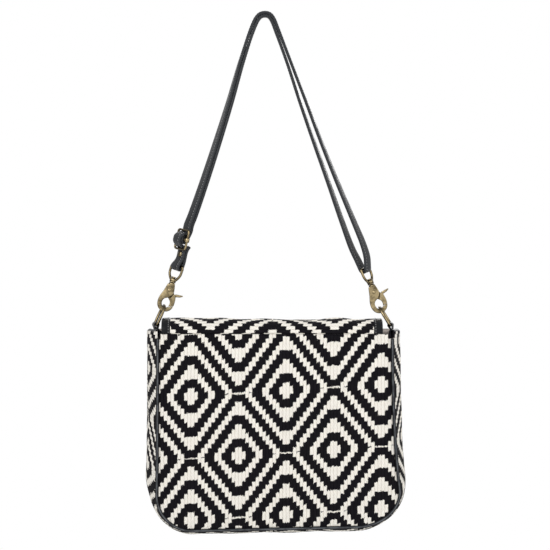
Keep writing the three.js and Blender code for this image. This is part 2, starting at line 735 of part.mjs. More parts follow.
// The bail: a collar that the hook's stud turns in, and a loop for the strap above it.
function bail() {
  const w = BAIL_WIDTH / 2;
  const top = BAIL_HEIGHT;
  const foot = BAIL_GAP + COLLAR_HIGH / 2;
  const round = 2;
  const points = [
    V(-COLLAR_R + 0.8, 0, foot),
    V(-COLLAR_R - 1.6, 0, foot + 2.6),
    V(-w + 0.5, 0, foot + 7),
    V(-w, 0, top - round - 1),
    V(-w, 0, top - round),
    V(-w + 0.6, 0, top - 0.6),
    V(-w + round, 0, top),
    V(-w / 2, 0, top),
    V(w / 2, 0, top),
    V(w - round, 0, top),
    V(w - 0.6, 0, top - 0.6),
    V(w, 0, top - round),
    V(w, 0, top - round - 1),
    V(w - 0.5, 0, foot + 7),
    V(COLLAR_R + 1.6, 0, foot + 2.6),
    V(COLLAR_R - 0.8, 0, foot),
  ];
  const collar = rodZ(COLLAR_R, 0, 0, BAIL_GAP, BAIL_GAP + COLLAR_HIGH, 16);
  const made = cut(
    join(wire(points, BAIL_WIRE_R, { steps: 26, sides: 8 }), collar),
    rodZ(STUD_R + CLEARANCE, 0, 0, -1, COLLAR_HIGH + 3, 12),
  );
  return surface(made);
}

// Where a clasp's collar turns, in the middle plane of the bag.
function claspAt(side) {
  const sign = side === "left" ? -1 : 1;
  const { inset, rise } = CLASPS[side];
  return inBag(sign * (gussetOutside(side) - inset), 0, GUSSET_TOP + rise);
}

for (const side of ["left", "right"]) {
  const place = CLASPS[side];
  const clasp = new THREE.Group();
  clasp.position.copy(claspAt(side));
  clasp.rotation.y = rad(place.lean);
  bag.add(clasp);
  const parts = claspParts();
  add(`clasp_hook_${side}`, parts.hook, BRASS, clasp);
  add(`clasp_gate_${side}`, parts.gate, BRASS, clasp);
  add(`clasp_pin_${side}`, parts.pin, BRASS, clasp);
  const loop = add(`clasp_bail_${side}`, bail(), BRASS, clasp);
  loop.rotation.z = rad(place.bailTurn);

  clasp.updateMatrixWorld(true);
  const seat = clasp.localToWorld(V(RING_SEAT.x, 0, RING_SEAT.z));
  const lean = rad(RING_LEAN[side]);
  const bar = seat.sub(V(Math.sin(lean), 0, Math.cos(lean)).multiplyScalar(RING_HEIGHT));
  const held = new THREE.Group();
  held.position.copy(bar);
  held.rotation.z = gussetTurn(side);
  bag.add(held);
  add(`ring_tab_${side}`, tab(side, V(bar.x - BAG_X, 0, bar.z + BAG_DROP)), LEATHER, held);
  const ring = add(`d_ring_${side}`, dRing(), BRASS, held);
  ring.rotation.y = lean;
}

// Slider: a wire frame with a bar across its middle, in the strap's left leg. Its own axes run
// across the strap (x), out of its front (y) and up the strap (z). Its middle is given from the
// left clasp's collar.
const SLIDER = { x: 10.9, y: -3.3, z: 47.5, lean: 13, turn: -50 };

function sliderFrame() {
  const w = SLIDER_WIDTH / 2;
  const h = SLIDER_HEIGHT / 2;
  const round = 2.4;
  const points = [];
  for (const [sx, sz] of [[1, 1], [-1, 1], [-1, -1], [1, -1]]) {
    const corner = [
      V(sx * w, 0, sz * 3),
      V(sx * w, 0, sz * (h - round)),
      V(sx * (w - 0.7), 0, sz * (h - 0.7)),
      V(sx * (w - round), 0, sz * h),
      V(sx * 3, 0, sz * h),
    ];
    points.push(...(sx * sz > 0 ? corner : corner.reverse()));
  }
  return wire(points, SLIDER_WIRE_R, { loop: true, steps: 40, sides: 8 });
}

// The bar, its ends bent round the sides of the frame.
function sliderBar() {
  const w = SLIDER_WIDTH / 2;
  const hole = SLIDER_WIRE_R + CLEARANCE;
  const knuckle = (sx) => rodZ(hole + 1, sx * w, 0, -2.2, 2.2, 12);
  const bore = (sx) => rodZ(hole, sx * w, 0, -3, 3, 12);
  const rod = new THREE.CylinderGeometry(SLIDER_WIRE_R, SLIDER_WIRE_R, 2 * w, 10).rotateZ(Math.PI / 2);
  return surface(cut(join(rod, knuckle(-1), knuckle(1)), bore(-1), bore(1)));
}

const slider = new THREE.Group();
slider.position.copy(claspAt("left")).add(V(SLIDER.x, SLIDER.y, SLIDER.z));
slider.rotation.set(0, rad(SLIDER.lean), rad(SLIDER.turn), "YZX");
bag.add(slider);
add("slider_frame", sliderFrame(), BRASS, slider);
add("slider_bar", sliderBar(), BRASS, slider);

// Strap: one length of folded leather. It starts round the slider's bar, runs up the left leg,
// over the crown and down the right leg, turns through the right bail and comes back over itself,
// then threads the slider, turns through the left bail and is riveted to itself.
const PAIR = (STRAP_THICK + CLEARANCE) / 2;
const SHOULDER = { left: V(-14.4, 0, -14.4), right: V(13, 0, -14.4) }; // where a leg leaves the crown

// One leg in the middle plane: the share of its length from the first end to the second, how far
// it bows to the left of a straight line, the turn of its face towards the back of the bag in
// degrees, and how far the two layers stand off the middle.
function leg(from, to, list) {
  const along = to.clone().sub(from).normalize();
  const side = V(-along.z, 0, along.x);
  return list.map(([share, bow, turn, off]) => {
    const p = from.clone().lerp(to, share).addScaledVector(side, bow);
    return [p.x, p.z, turn, off];
  });
}

const STRAP_ROUTE = [
  ...leg(claspAt("left").add(V(22.1, 0, 72.4)), SHOULDER.left, [
    [0, 0, 37, PAIR],
    [0.193, -1, 29, PAIR],
    [0.406, -1.25, 22, PAIR],
    [0.619, -0.9, 14, PAIR],
    [0.829, 0.4, 6, PAIR],
    [1, 0, 0, PAIR],
  ]),
  [-8.6, -1.6, 0, PAIR],
  [-4.9, 2.2, 0, PAIR],
  [0, STRAP_THICK + CLEARANCE / 2, 0, PAIR],
  [4.7, 2.1, 0, PAIR],
  [8.2, -2.4, 0, PAIR],
  ...leg(SHOULDER.right, claspAt("right").add(V(-9.7, 0, 28.5)), [
    [0, 0, 0, PAIR],
    [0.138, 0, 2, PAIR + 0.3],
    [0.311, -0.7, 5, 3.2],
    [0.484, -1.15, 10, 3.8],
    [0.657, -0.95, 15, 4.7],
    [0.84, -0.55, 21, 6.4],
    [0.945, -0.15, 27, 7.2],
    [1, 0, 32, 6],
  ]),
];

// A station of the strap: its middle and the direction of its width.
function routeStations(layer) {
  return STRAP_ROUTE.map(([x, z, turn, off], i) => {
    const before = STRAP_ROUTE[Math.max(i - 1, 0)];
    const after = STRAP_ROUTE[Math.min(i + 1, STRAP_ROUTE.length - 1)];
    const along = new THREE.Vector2(after[0] - before[0], after[1] - before[1]).normalize();
    const out = V(-along.y, 0, along.x);
    const a = rad(turn);
    const face = out.clone().multiplyScalar(Math.cos(a)).add(V(0, -Math.sin(a), 0));
    const wide = out.clone().multiplyScalar(Math.sin(a)).add(V(0, Math.cos(a), 0));
    return { p: V(x, 0, z).addScaledVector(face, layer * off), wide };
  });
}

// Half a turn round a bail's bar, under it from its left or back side to the other.
function bailStations(side) {
  const loop = bag.getObjectByName(`clasp_bail_${side}`);
  loop.updateWorldMatrix(true, false);
  const middle = loop.localToWorld(V(0, 0, BAIL_HEIGHT));
  const wide = loop.localToWorld(V(1, 0, BAIL_HEIGHT)).sub(middle);
  if (wide.y < 0) wide.negate();
  const up = loop.localToWorld(V(0, 0, BAIL_HEIGHT + 1)).sub(middle);
  const across = wide.clone().cross(up);
  const r = BAIL_WIRE_R + 2 * CLEARANCE + STRAP_THICK / 2;
  return [-172, -145, -117, -90, -63, -35, -8].map((degrees) => ({
    p: middle
      .clone()
      .addScaledVector(across, r * Math.cos(rad(degrees)))
      .addScaledVector(up, r * Math.sin(rad(degrees))),
    wide,
  }));
}

// Stations given as distances down from the slider's bar and out in front of its frame.
function sliderStations(list) {
  slider.updateWorldMatrix(true, false);
  const wide = V(-1, 0, 0).transformDirection(slider.matrixWorld);
  return list.map(([down, front]) => ({ p: slider.localToWorld(V(0, -front, -down)), wide }));
}

const WRAP = SLIDER_WIRE_R + CLEARANCE + STRAP_THICK / 2; // strap's middle round a slider bar
const OVER = WRAP + STRAP_THICK + CLEARANCE; // over the layer wrapped there
const FRAME = SLIDER_HEIGHT / 2;
const BEHIND = WRAP + STRAP_THICK + CLEARANCE; // the second layer behind the frame

function strapStations() {
  const inner = routeStations(-1);
  const outer = routeStations(1).reverse();
  const wrapped = sliderStations([
    [-1.6, WRAP],
    [0.7, WRAP],
    [2.4, 2.3],
    [WRAP, 0],
    [2.4, -2.3],
    [0, -WRAP - 0.1],
    [-4, -WRAP - 1.9],
    [-FRAME, -BEHIND - 0.1],
    [-17, -BEHIND],
  ]);
  const threaded = sliderStations([
    [-17, -WRAP - 0.1],
    [-FRAME, -WRAP - 0.05],
    [-FRAME + 2.5, -2.3],
    [-FRAME + WRAP + 0.05, 0.1],
    [-5.1, 4.3],
    [-2.7, OVER - 0.3],
    [0, OVER + 0.1],
    [2.7, OVER - 0.3],
    [5.1, 4.3],
    [FRAME - WRAP - 0.05, 0.1],
    [FRAME - 2.5, -2.3],
    [FRAME, -WRAP - 0.05],
    [FRAME + 2.5, -WRAP - 0.1],
    [20, -WRAP - 0.1],
    [25, -1.4],
  ]);
  const folded = sliderStations([
    [25, -BEHIND - 0.1],
    [20, -BEHIND - 0.15],
    [FRAME + 2.5, -BEHIND - 0.15],
    [9.2, -BEHIND - 1],
    [6.4, -BEHIND - 2.6],
  ]);
  return [
    ...wrapped,
    ...inner,
    ...bailStations("right"),
    ...outer,
    ...threaded,
    ...bailStations("left"),
    ...folded,
  ];
}

function strap() {
  const stations = strapStations();
  const curve = new THREE.CatmullRomCurve3(stations.map(({ p }) => p), false, "centripetal");
  const between = 1;
  const steps = (stations.length - 1) * between;
  const w = STRAP_WIDTH / 2;
  const h = STRAP_THICK / 2;
  const ease = 0.5;
  const rings = [];
  for (let i = 0; i <= steps; i++) {
    const at = i / between;
    const from = stations[Math.floor(at)];
    const to = stations[Math.min(Math.floor(at) + 1, stations.length - 1)];
    const along = curve.getTangent(i / steps);
    const across = from.wide.clone().lerp(to.wide, at % 1);
    across.addScaledVector(along, -across.dot(along)).normalize();
    const face = along.clone().cross(across);
    const centre = curve.getPoint(i / steps);
    rings.push(
      [
        [w, h - ease],
        [w - ease, h],
        [ease - w, h],
        [-w, h - ease],
        [-w, ease - h],
        [ease - w, -h],
        [w - ease, -h],
        [w, ease - h],
      ].map(([a, b]) => centre.clone().addScaledVector(across, a).addScaledVector(face, b)),
    );
  }
  return loft(rings);
}

// The rivet that closes the strap below the slider, through both layers.
const RIVET_DOWN = FRAME + SLIDER_WIRE_R + RIVET_HEAD_R + 0.6;
const rivetFront = -WRAP - 0.1 + STRAP_THICK / 2 + CLEARANCE;
const rivetBack = -BEHIND - 0.15 - STRAP_THICK / 2 - CLEARANCE;

function alongFront(r, front, back, sides) {
  return rodY(r, 0, -RIVET_DOWN, -front, -back, sides);
}

const rivetHead = 1.1;
const rivet = surface(
  join(
    alongFront(RIVET_R, rivetFront + rivetHead / 2, rivetBack - rivetHead / 2, 12),
    alongFront(RIVET_HEAD_R, rivetFront + rivetHead, rivetFront, 20),
    alongFront(RIVET_HEAD_R, rivetBack, rivetBack - rivetHead, 20),
  ),
);
add("strap_rivet", rivet, BRASS, slider);

const rivetHole = alongFront(RIVET_R + CLEARANCE, rivetFront + 2, rivetBack - 2, 12);
slider.updateWorldMatrix(true, false);
rivetHole.applyMatrix4(slider.matrixWorld);
add("strap", surface(cut(solid(strap()), rivetHole)), LEATHER);

export default bag;
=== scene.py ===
"""A flap-top shoulder bag of woven cotton, hanging by its leather strap. Metres, +Z up, the plain back of
the bag towards -Y, the origin under the crown of the strap."""

import math

import bmesh
import bpy
from mathutils import Matrix, Vector, noise


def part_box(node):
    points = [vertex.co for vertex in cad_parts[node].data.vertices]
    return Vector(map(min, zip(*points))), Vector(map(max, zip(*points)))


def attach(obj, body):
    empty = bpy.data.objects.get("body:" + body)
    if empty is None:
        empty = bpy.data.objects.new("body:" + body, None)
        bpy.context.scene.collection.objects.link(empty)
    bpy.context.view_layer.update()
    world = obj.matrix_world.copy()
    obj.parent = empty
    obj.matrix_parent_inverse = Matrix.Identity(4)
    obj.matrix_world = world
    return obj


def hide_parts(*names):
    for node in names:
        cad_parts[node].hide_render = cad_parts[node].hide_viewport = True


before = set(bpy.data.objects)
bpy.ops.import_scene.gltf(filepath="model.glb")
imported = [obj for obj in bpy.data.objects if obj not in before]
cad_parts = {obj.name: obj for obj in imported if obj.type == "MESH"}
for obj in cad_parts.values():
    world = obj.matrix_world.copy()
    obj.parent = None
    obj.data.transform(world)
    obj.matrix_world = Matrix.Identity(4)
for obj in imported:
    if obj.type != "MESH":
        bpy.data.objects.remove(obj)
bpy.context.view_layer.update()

# Camera: level with the middle of the bag and its strap, far off, looking at the plain back.
# The photograph is 0.594 m across where the back panel hangs.
MM = 0.001
VIEW_WIDTH = 594 * MM
VIEW_MIDDLE = Vector((10.8, -31, -281.1)) * MM
VIEW_DISTANCE = 3.0
SENSOR = 36.0


def add_object(name, data):
    made = bpy.data.objects.new(name, data)
    bpy.context.collection.objects.link(made)
    return made


lens = bpy.data.cameras.new("camera")
lens.sensor_width = SENSOR
lens.lens = SENSOR * VIEW_DISTANCE / VIEW_WIDTH
lens.clip_end = 50
camera = add_object("camera", lens)
camera.location = VIEW_MIDDLE - Vector((0, VIEW_DISTANCE, 0))
camera.rotation_euler = (math.radians(90), 0, 0)
bpy.context.scene.camera = camera


# Studio: a big soft lamp high on the left, a weaker one on the right and one behind, in an even
# pale room. What the lens and the metal see of the room is plain white.
def linear(hexa):
    parts = [int(hexa[i : i + 2], 16) / 255 for i in (1, 3, 5)]
    return [*(c / 12.92 if c <= 0.04045 else ((c + 0.055) / 1.055) ** 2.4 for c in parts), 1]


def feed(made, sockets):
    """Gives a node's sockets their values, or links them to another node or to one of its outputs."""
    for socket, value in sockets.items():
        if isinstance(value, bpy.types.Node):
            value = value.outputs[0]
        if isinstance(value, bpy.types.NodeSocket):
            made.id_data.links.new(value, made.inputs[socket])
        else:
            made.inputs[socket].default_value = value


def node(tree, kind, sockets, **settings):
    made = tree.nodes.new("ShaderNode" + kind)
    for key, value in settings.items():
        setattr(made, key, value)
    feed(made, sockets)
    return made


def white_to_rays(tree, lit, white_kind, output):
    """The lit shader, except that the camera, metal and glass see plain white in its place."""
    ray = node(tree, "LightPath", {})
    seen = ray.outputs["Is Camera Ray"]
    for other in ("Is Glossy Ray", "Is Transmission Ray"):
        seen = node(tree, "Math", {0: seen, 1: ray.outputs[other]}, operation="MAXIMUM")
    white = node(tree, white_kind, {"Color": (1, 1, 1, 1), "Strength": 1.0})
    mixed = node(tree, "MixShader", {0: seen, 1: lit, 2: white})
    feed(output, {"Surface": mixed})


ROOM_FILL = 0.62
room = bpy.data.worlds.new("pale room")
bpy.context.scene.world = room
room.use_nodes = True
room.node_tree.nodes.clear()
fill = node(room.node_tree, "Background", {"Color": linear("#f4f6fa"), "Strength": ROOM_FILL})
white_to_rays(room.node_tree, fill, "Background", node(room.node_tree, "OutputWorld", {}))

for name, place, size, power in [
    ("key lamp", (-0.9, -1.5, 0.7), 1.1, 17),
    ("side lamp", (1.3, -0.9, 0.1), 1.0, 7),
    ("back lamp", (0.3, 1.5, 0.6), 1.2, 16),
]:
    lamp = bpy.data.lights.new(name, "AREA")
    lamp.energy = power
    lamp.size = size
    holder = add_object(name, lamp)
    holder.location = place
    holder.rotation_euler = (VIEW_MIDDLE - Vector(place)).to_track_quat("-Z", "Y").to_euler()
    holder.visible_camera = False


def new_material(name):
    """A material, its tree, and the shader at the end of it."""
    made = bpy.data.materials.new(name)
    made.use_nodes = True
    tree = made.node_tree
    tree.nodes.clear()
    skin = node(tree, "BsdfPrincipled", {})
    node(tree, "OutputMaterial", {"Surface": skin})
    return made, tree, skin


FLOOR_DROP = 0.66
FLOOR_HALF = 6
ground = bmesh.new()
lowered = Matrix.Translation((0, 0, -FLOOR_DROP))
bmesh.ops.create_grid(ground, x_segments=1, y_segments=1, size=FLOOR_HALF, matrix=lowered)
floor_mesh = bpy.data.meshes.new("floor")
ground.to_mesh(floor_mesh)
ground.free()
floor = add_object("floor", floor_mesh)
paper, tree, skin = new_material("white paper sweep")
feed(skin, {"Base Color": linear("#e9e9e8"), "Roughness": 0.9})
white_to_rays(tree, skin, "Emission", tree.nodes["Material Output"])
floor_mesh.materials.append(paper)


# Woven cotton: thick cotton yarn, black and natural cream, woven in ribs about 3.7 mm wide that
# run up the cloth. Slanted stitches show on each rib, and the figure of diamonds inside diamonds
# steps from rib to rib. The UV map holds ribs across and rows up, from the middle of a diamond.
RIB = 3.67 * MM
ROW = 4.79 * MM
DIAMOND = 14.0  # ribs and rows from the middle of a diamond to where the next begins
RINGS = ((1.85, 4.8), (6.97, 10.1))  # from the middle, the near and far edge of each black ring
NET = 12.1  # from the middle, where the black net between diamonds begins
NECKS = ((11.5, 0.18), (13.87, 1.5))  # how far out each cream neck begins, and its half width
STITCH = 0.42  # rows from one slanted stitch to the next

cotton, tree, skin = new_material("woven cotton")
uv = node(tree, "UVMap", {}, uv_map="weave")
axes = node(tree, "SeparateXYZ", {0: uv})
wobble = node(tree, "TexNoise", {"Vector": uv, "Scale": 0.9, "Detail": 3.0})
shift = node(tree, "SeparateXYZ", {0: wobble.outputs[1]})
across = node(tree, "Math", {0: shift, 1: 0.5, 2: -0.25}, operation="MULTIPLY_ADD")
column = node(tree, "Math", {0: axes, 1: across}, operation="ADD")
drift = node(tree, "Math", {0: shift.outputs[1], 1: 0.7, 2: -0.8}, operation="MULTIPLY_ADD")
ragged = node(tree, "TexNoise", {"Vector": uv, "Scale": 3.2, "Detail": 3.0})
drift = node(tree, "Math", {0: ragged, 1: 0.9, 2: drift}, operation="MULTIPLY_ADD")
row = node(tree, "Math", {0: axes.outputs[1], 1: drift}, operation="ADD")
part = node(tree, "Math", {0: column}, operation="FRACT")
in_rib = node(tree, "Math", {0: part, 1: 0.5}, operation="SUBTRACT")
step = node(tree, "Math", {0: in_rib, 1: -0.12, 2: row}, operation="MULTIPLY_ADD")
folded = node(tree, "Math", {0: column, 1: DIAMOND}, operation="PINGPONG")
k = node(tree, "Math", {0: folded}, operation="FLOOR")
b = node(tree, "Math", {0: step, 1: DIAMOND}, operation="PINGPONG")
k_next = node(tree, "Math", {0: DIAMOND - 1, 1: k}, operation="SUBTRACT")
b_next = node(tree, "Math", {0: DIAMOND, 1: b}, operation="SUBTRACT")

bands = []
nets = []
for rib_off, row_off in ((k, b), (k_next, b_next)):
    inner = node(tree, "Math", {0: rib_off, 1: row_off}, operation="ADD")
    flat = node(tree, "Math", {0: rib_off, 1: 1.0}, operation="MAXIMUM")
    outer = node(tree, "Math", {0: flat, 1: row_off}, operation="ADD")
    for near, far in RINGS:
        past = node(tree, "Math", {0: inner, 1: near}, operation="GREATER_THAN")
        short = node(tree, "Math", {0: outer, 1: far}, operation="LESS_THAN")
        bands.append(node(tree, "Math", {0: past, 1: short}, operation="MULTIPLY"))
    nets.append(node(tree, "Math", {0: inner, 1: NET}, operation="GREATER_THAN"))
# The net is cut by a thin cream neck between each diamond and the next across and up the cloth.
level = node(tree, "Math", {0: row, 1: DIAMOND}, operation="PINGPONG")
for (beyond, within), value, other in zip(NECKS, (k, level), (level, k)):
    past = node(tree, "Math", {0: value, 1: beyond}, operation="GREATER_THAN")
    near = node(tree, "Math", {0: other, 1: within}, operation="LESS_THAN")
    neck = node(tree, "Math", {0: past, 1: near}, operation="MULTIPLY")
    nets.append(node(tree, "Math", {0: 1.0, 1: neck}, operation="SUBTRACT"))
black = nets[0]
for each in nets[1:]:
    black = node(tree, "Math", {0: black, 1: each}, operation="MULTIPLY")
for each in bands:
    black = node(tree, "Math", {0: black, 1: each}, operation="MAXIMUM")

# Painted shade: each rib's colour is darkened towards its sides and in the gaps between its slanted
# stitches, where the grooves are shaded, and its crown is left light. A fuzz noise adds the yarn's own
# uneven tone.
lean = node(tree, "Math", {0: in_rib, 1: -1.7, 2: row}, operation="MULTIPLY_ADD")
stitch = node(tree, "Math", {0: lean, 1: STITCH}, operation="PINGPONG")
side = node(tree, "Math", {0: in_rib, 1: 2.0}, operation="MULTIPLY")
side = node(tree, "Math", {0: side}, operation="ABSOLUTE")
side = node(tree, "Math", {0: side, 1: 9.0}, operation="POWER")
crown = node(tree, "Math", {0: 1.0, 1: side}, operation="SUBTRACT")
strand = node(tree, "Math", {0: stitch, 1: 0.6 / STITCH, 2: 0.4}, operation="MULTIPLY_ADD")
yarn = node(tree, "Math", {0: crown, 1: strand}, operation="MULTIPLY")
fuzz = node(tree, "TexNoise", {"Vector": uv, "Scale": 7.0, "Detail": 5.0})
tone_and_painted_light = node(tree, "Math", {0: fuzz, 1: 0.42, 2: yarn}, operation="MULTIPLY_ADD")

lit = node(tree, "MapRange", {0: tone_and_painted_light, 1: 0.25, 2: 0.95})
cream = node(tree, "Mix", {0: lit, 6: linear("#cfc5b4"), 7: linear("#fbf6ec")}, data_type="RGBA")
ink = node(tree, "Mix", {0: lit, 6: linear("#040305"), 7: linear("#19171b")}, data_type="RGBA")
colour = node(tree, "Mix", {0: black, 6: cream.outputs[2], 7: ink.outputs[2]}, data_type="RGBA")
height = node(tree, "Math", {0: black, 1: 0.35, 2: tone_and_painted_light}, operation="MULTIPLY_ADD")
bump = node(tree, "Bump", {"Height": height, "Distance": 0.7 * MM, "Strength": 0.8})
feed(skin, {"Base Color": colour.outputs[2], "Roughness": 0.92, "Normal": bump, "Specular IOR Level": 0.08})


# Panels: two pieces of the cloth, backed, cut with round lower corners and sewn into the piping.
# The bag is fuller towards its flap side and its lower right corner, and both panels swell a little.
BAG_X = 10.8
BAG_DROP = 559
SEAM_Y = 31
PANEL_TOP = 214
PANEL_BULGE = 6
PANEL_SQUARE = 3.4  # 2 would let the swelling fall off in circles, and more keeps it up to the corners
CLOTH = 2.4
WEAVE_RISE = 0.063
# Each side: where it stands at the top and low down, the radii of its lower corner, across and up, and
# how high its base lies.
BACK = {"left": (126.8, 127.8, 38, 38, 1.4), "right": (127, 135, 48, 38, 5.5)}
FRONT = {"left": (138.4, 139.4, 54, 66, 0), "right": (134.4, 139.2, 64, 57, 2.5)}
UNDER_PIPING = 1.4


def in_bag(x, y, z):
    return Vector((x + BAG_X, y, z - BAG_DROP)) * MM


def reach(spec, side, z):
    """How far a side of a panel stands from the middle of the bag at height z."""
    top, low, rx, rz, base = spec[side]
    shoulder = base + rz
    if z >= shoulder:
        down = (PANEL_TOP - z) / (PANEL_TOP - shoulder)
        return top + (low - top) * max(down, 0) ** 2.5
    dip = min((shoulder - z) / rz, 1)
    return low - rx + rx * math.sqrt(1 - dip * dip)


def weave_uv(bm, place):
    """Lays the pattern over bm, from place(vert) in ribs across and rows up."""
    layer = bm.loops.layers.uv.new("weave")
    bm.verts.index_update()
    for face in bm.faces:
        for loop in face.loops:
            loop[layer].uv = place(loop.vert)


def finish(name, bm, material, body, slot, *replaced, thick=0, offset=-1):
    mesh = bpy.data.meshes.new(name)
    bm.to_mesh(mesh)
    bm.free()
    mesh.shade_smooth()
    mesh.materials.append(material)
    made = add_object(name, mesh)
    if thick:
        shell = made.modifiers.new("thickness", "SOLIDIFY")
        shell.thickness = thick * MM
        shell.offset = offset
    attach(made, body)
    if replaced:
        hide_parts(*replaced)


def face_out(bm):
    bmesh.ops.recalc_face_normals(bm, faces=bm.faces)


def mapped_grid(across, along, place, joined=False):
    """A grid laid by place(a, b), with a and b from 0 to 1. It closes on itself round a if joined."""
    bm = bmesh.new()
    bmesh.ops.create_grid(bm, x_segments=across, y_segments=along, size=0.5)
    for vert in bm.verts:
        vert.co = place(vert.co.x + 0.5, vert.co.y + 0.5)
    if joined:
        bmesh.ops.remove_doubles(bm, verts=bm.verts, dist=1e-6)
        bmesh.ops.holes_fill(bm, edges=bm.edges, sides=across + 2)
        face_out(bm)
    return bm


def swept(section, stations, place):
    """A closed section carried through stations. place(i, aside, out) puts a point of it at station i."""

    def at(a, b):
        return place(round(b * (stations - 1)), *section[round(a * len(section)) % len(section)])

    return mapped_grid(len(section), stations - 1, at, joined=True)


def heading(points, i, closed=False):
    """The direction in which a line of points runs at point i."""
    last = len(points) - 1
    if closed:
        return (points[0 if i == last else i + 1] - points[i - 1]).normalized()
    return (points[min(i + 1, last)] - points[max(i - 1, 0)]).normalized()


def cloth_wave(p, size, depth):
    return depth * noise.noise(Vector(p) / size)


def panel(name, spec, sign, diamond):
    def place(a, b):
        high = b * (PANEL_TOP - UNDER_PIPING) + UNDER_PIPING
        left, right = (reach({s: (*spec[s][:4], 0)}, s, high) - UNDER_PIPING for s in ("left", "right"))
        x = -left + (left + right) * a
        base = spec["left"][4] + (spec["right"][4] - spec["left"][4]) * min(max((x + 90) / 180, 0), 1)
        z = high + base * (1 - b)
        edge = (abs(2 * a - 1) ** PANEL_SQUARE + abs(2 * b - 1) ** PANEL_SQUARE) ** (1 / PANEL_SQUARE)
        # The swell falls off to the seams. Broad waves cross it, and small puckers lie along the seams.
        swell = PANEL_BULGE * (1 - min(edge, 1) ** 2.4)
        swell += (1 - min(edge, 1) ** 6) * cloth_wave((x, sign * 60, z), 48, 1.3)
        pucker = max(0, edge - 0.86) * cloth_wave((x, sign * 90, z), 9, 4)
        return in_bag(x, sign * (SEAM_Y + swell + pucker - 0.4), z)

    bm = mapped_grid(150, 130, place)

    def weave(vert):
        x = vert.co.x / MM - BAG_X - diamond[0]
        z = vert.co.z / MM + BAG_DROP - diamond[1]
        return (x / (RIB / MM), (z - WEAVE_RISE * x) / (ROW / MM))

    weave_uv(bm, weave)
    face_out(bm)
    if bm.faces[0].normal.y * sign < 0:
        bmesh.ops.reverse_faces(bm, faces=bm.faces)
    finish(f"{name}_cloth", bm, cotton, "bag", "woven_cotton", f"{name}_panel", thick=CLOTH)


panel("back", BACK, -1, (-90.7, 147.0))
panel("front", FRONT, 1, (-51.3, 150.0))


# Gusset: one long strip of the same cloth, turned so that its ribs run across it, sewn between the
# panels down one side, along the base and up the other. It swells a little between its seams.
GUSSET_TOP = 217
GUSSET_BULGE = 3
GUSSET_HALF = 29.4
SIDE_SHARE = 0.55  # of the points along half the seam, those of the side and those of the corner
CORNER_SHARE = 0.25
GUSSET_DIAMOND = 40.3  # from the top of the strip to the middle of its first diamond


def outline(spec, q):
    """The seam line of a panel from its top left end (q 0) round the base to its top right end (q 1)."""
    side = "left" if q < 0.5 else "right"
    sign = -1 if side == "left" else 1
    part = 2 * q if side == "left" else 2 * (1 - q)
    top, low, rx, rz, base = spec[side]
    shoulder = base + rz
    if part < SIDE_SHARE:
        z = GUSSET_TOP + (shoulder - GUSSET_TOP) * part / SIDE_SHARE
        return Vector((sign * reach(spec, side, z), z))
    if part < SIDE_SHARE + CORNER_SHARE:
        turn = math.pi / 2 * (part - SIDE_SHARE) / CORNER_SHARE
        return Vector((sign * (low - rx + rx * math.cos(turn)), shoulder - rz * math.sin(turn)))
    end = Vector((sign * (low - rx), base))
    other = spec["right" if side == "left" else "left"]
    far = Vector((-sign * (other[1] - other[2]), other[4]))
    run = (part - SIDE_SHARE - CORNER_SHARE) / (1 - SIDE_SHARE - CORNER_SHARE)
    return end.lerp((end + far) / 2, run)


def outward(spec, q):
    step = 0.004
    along = outline(spec, min(q + step, 1)) - outline(spec, max(q - step, 0))
    return Vector((along.y, -along.x)).normalized()


def gusset_point(q, u, grow):
    p = outline(BACK, q).lerp(outline(FRONT, q), u)
    out = outward(BACK, q).lerp(outward(FRONT, q), u).normalized()
    swell = GUSSET_BULGE * math.sin(math.pi * u) + grow
    y = GUSSET_HALF * (2 * u - 1)
    swell += math.sin(math.pi * u) * cloth_wave((p.x, y, p.y), 30, 1.2)
    p = p + out * swell
    return in_bag(p.x, y, p.y)


GUSSET_STEPS = 420
GUSSET_ACROSS = 36
gusset_bm = mapped_grid(GUSSET_ACROSS, GUSSET_STEPS, lambda a, b: gusset_point(b, a, 0))
middle_line = [gusset_point(i / GUSSET_STEPS, 0.5, 0) for i in range(GUSSET_STEPS + 1)]
travelled = [0.0]
for a, b in zip(middle_line, middle_line[1:]):
    travelled.append(travelled[-1] + (b - a).length)


def gusset_weave(vert):
    i, j = divmod(vert.index, GUSSET_ACROSS + 1)
    run = travelled[i] - GUSSET_DIAMOND * MM
    return (run / RIB, (j / GUSSET_ACROSS - 0.5) * 2 * GUSSET_HALF * MM / ROW)


weave_uv(gusset_bm, gusset_weave)
face_out(gusset_bm)
finish("gusset_cloth", gusset_bm, cotton, "bag", "woven_cotton", "gusset", thick=CLOTH)


# Black leather: chrome-tanned cowhide with a fine smoothed grain, cut into strips and folded. Its colour is
# lighter in random creases, and painted a lighter cool grey along its folds and sharp edges as a painted
# highlight.
GRAIN = 0.9 * MM
hide, tree, skin = new_material("smooth black cowhide")
place = node(tree, "TexCoord", {})
spot = place.outputs["Object"]
grain = node(tree, "TexVoronoi", {"Vector": spot, "Scale": 1 / GRAIN}, feature="F1")
creases = node(tree, "TexNoise", {"Vector": spot, "Scale": 1 / (9 * MM), "Detail": 5.0})
form = node(tree, "NewGeometry", {})
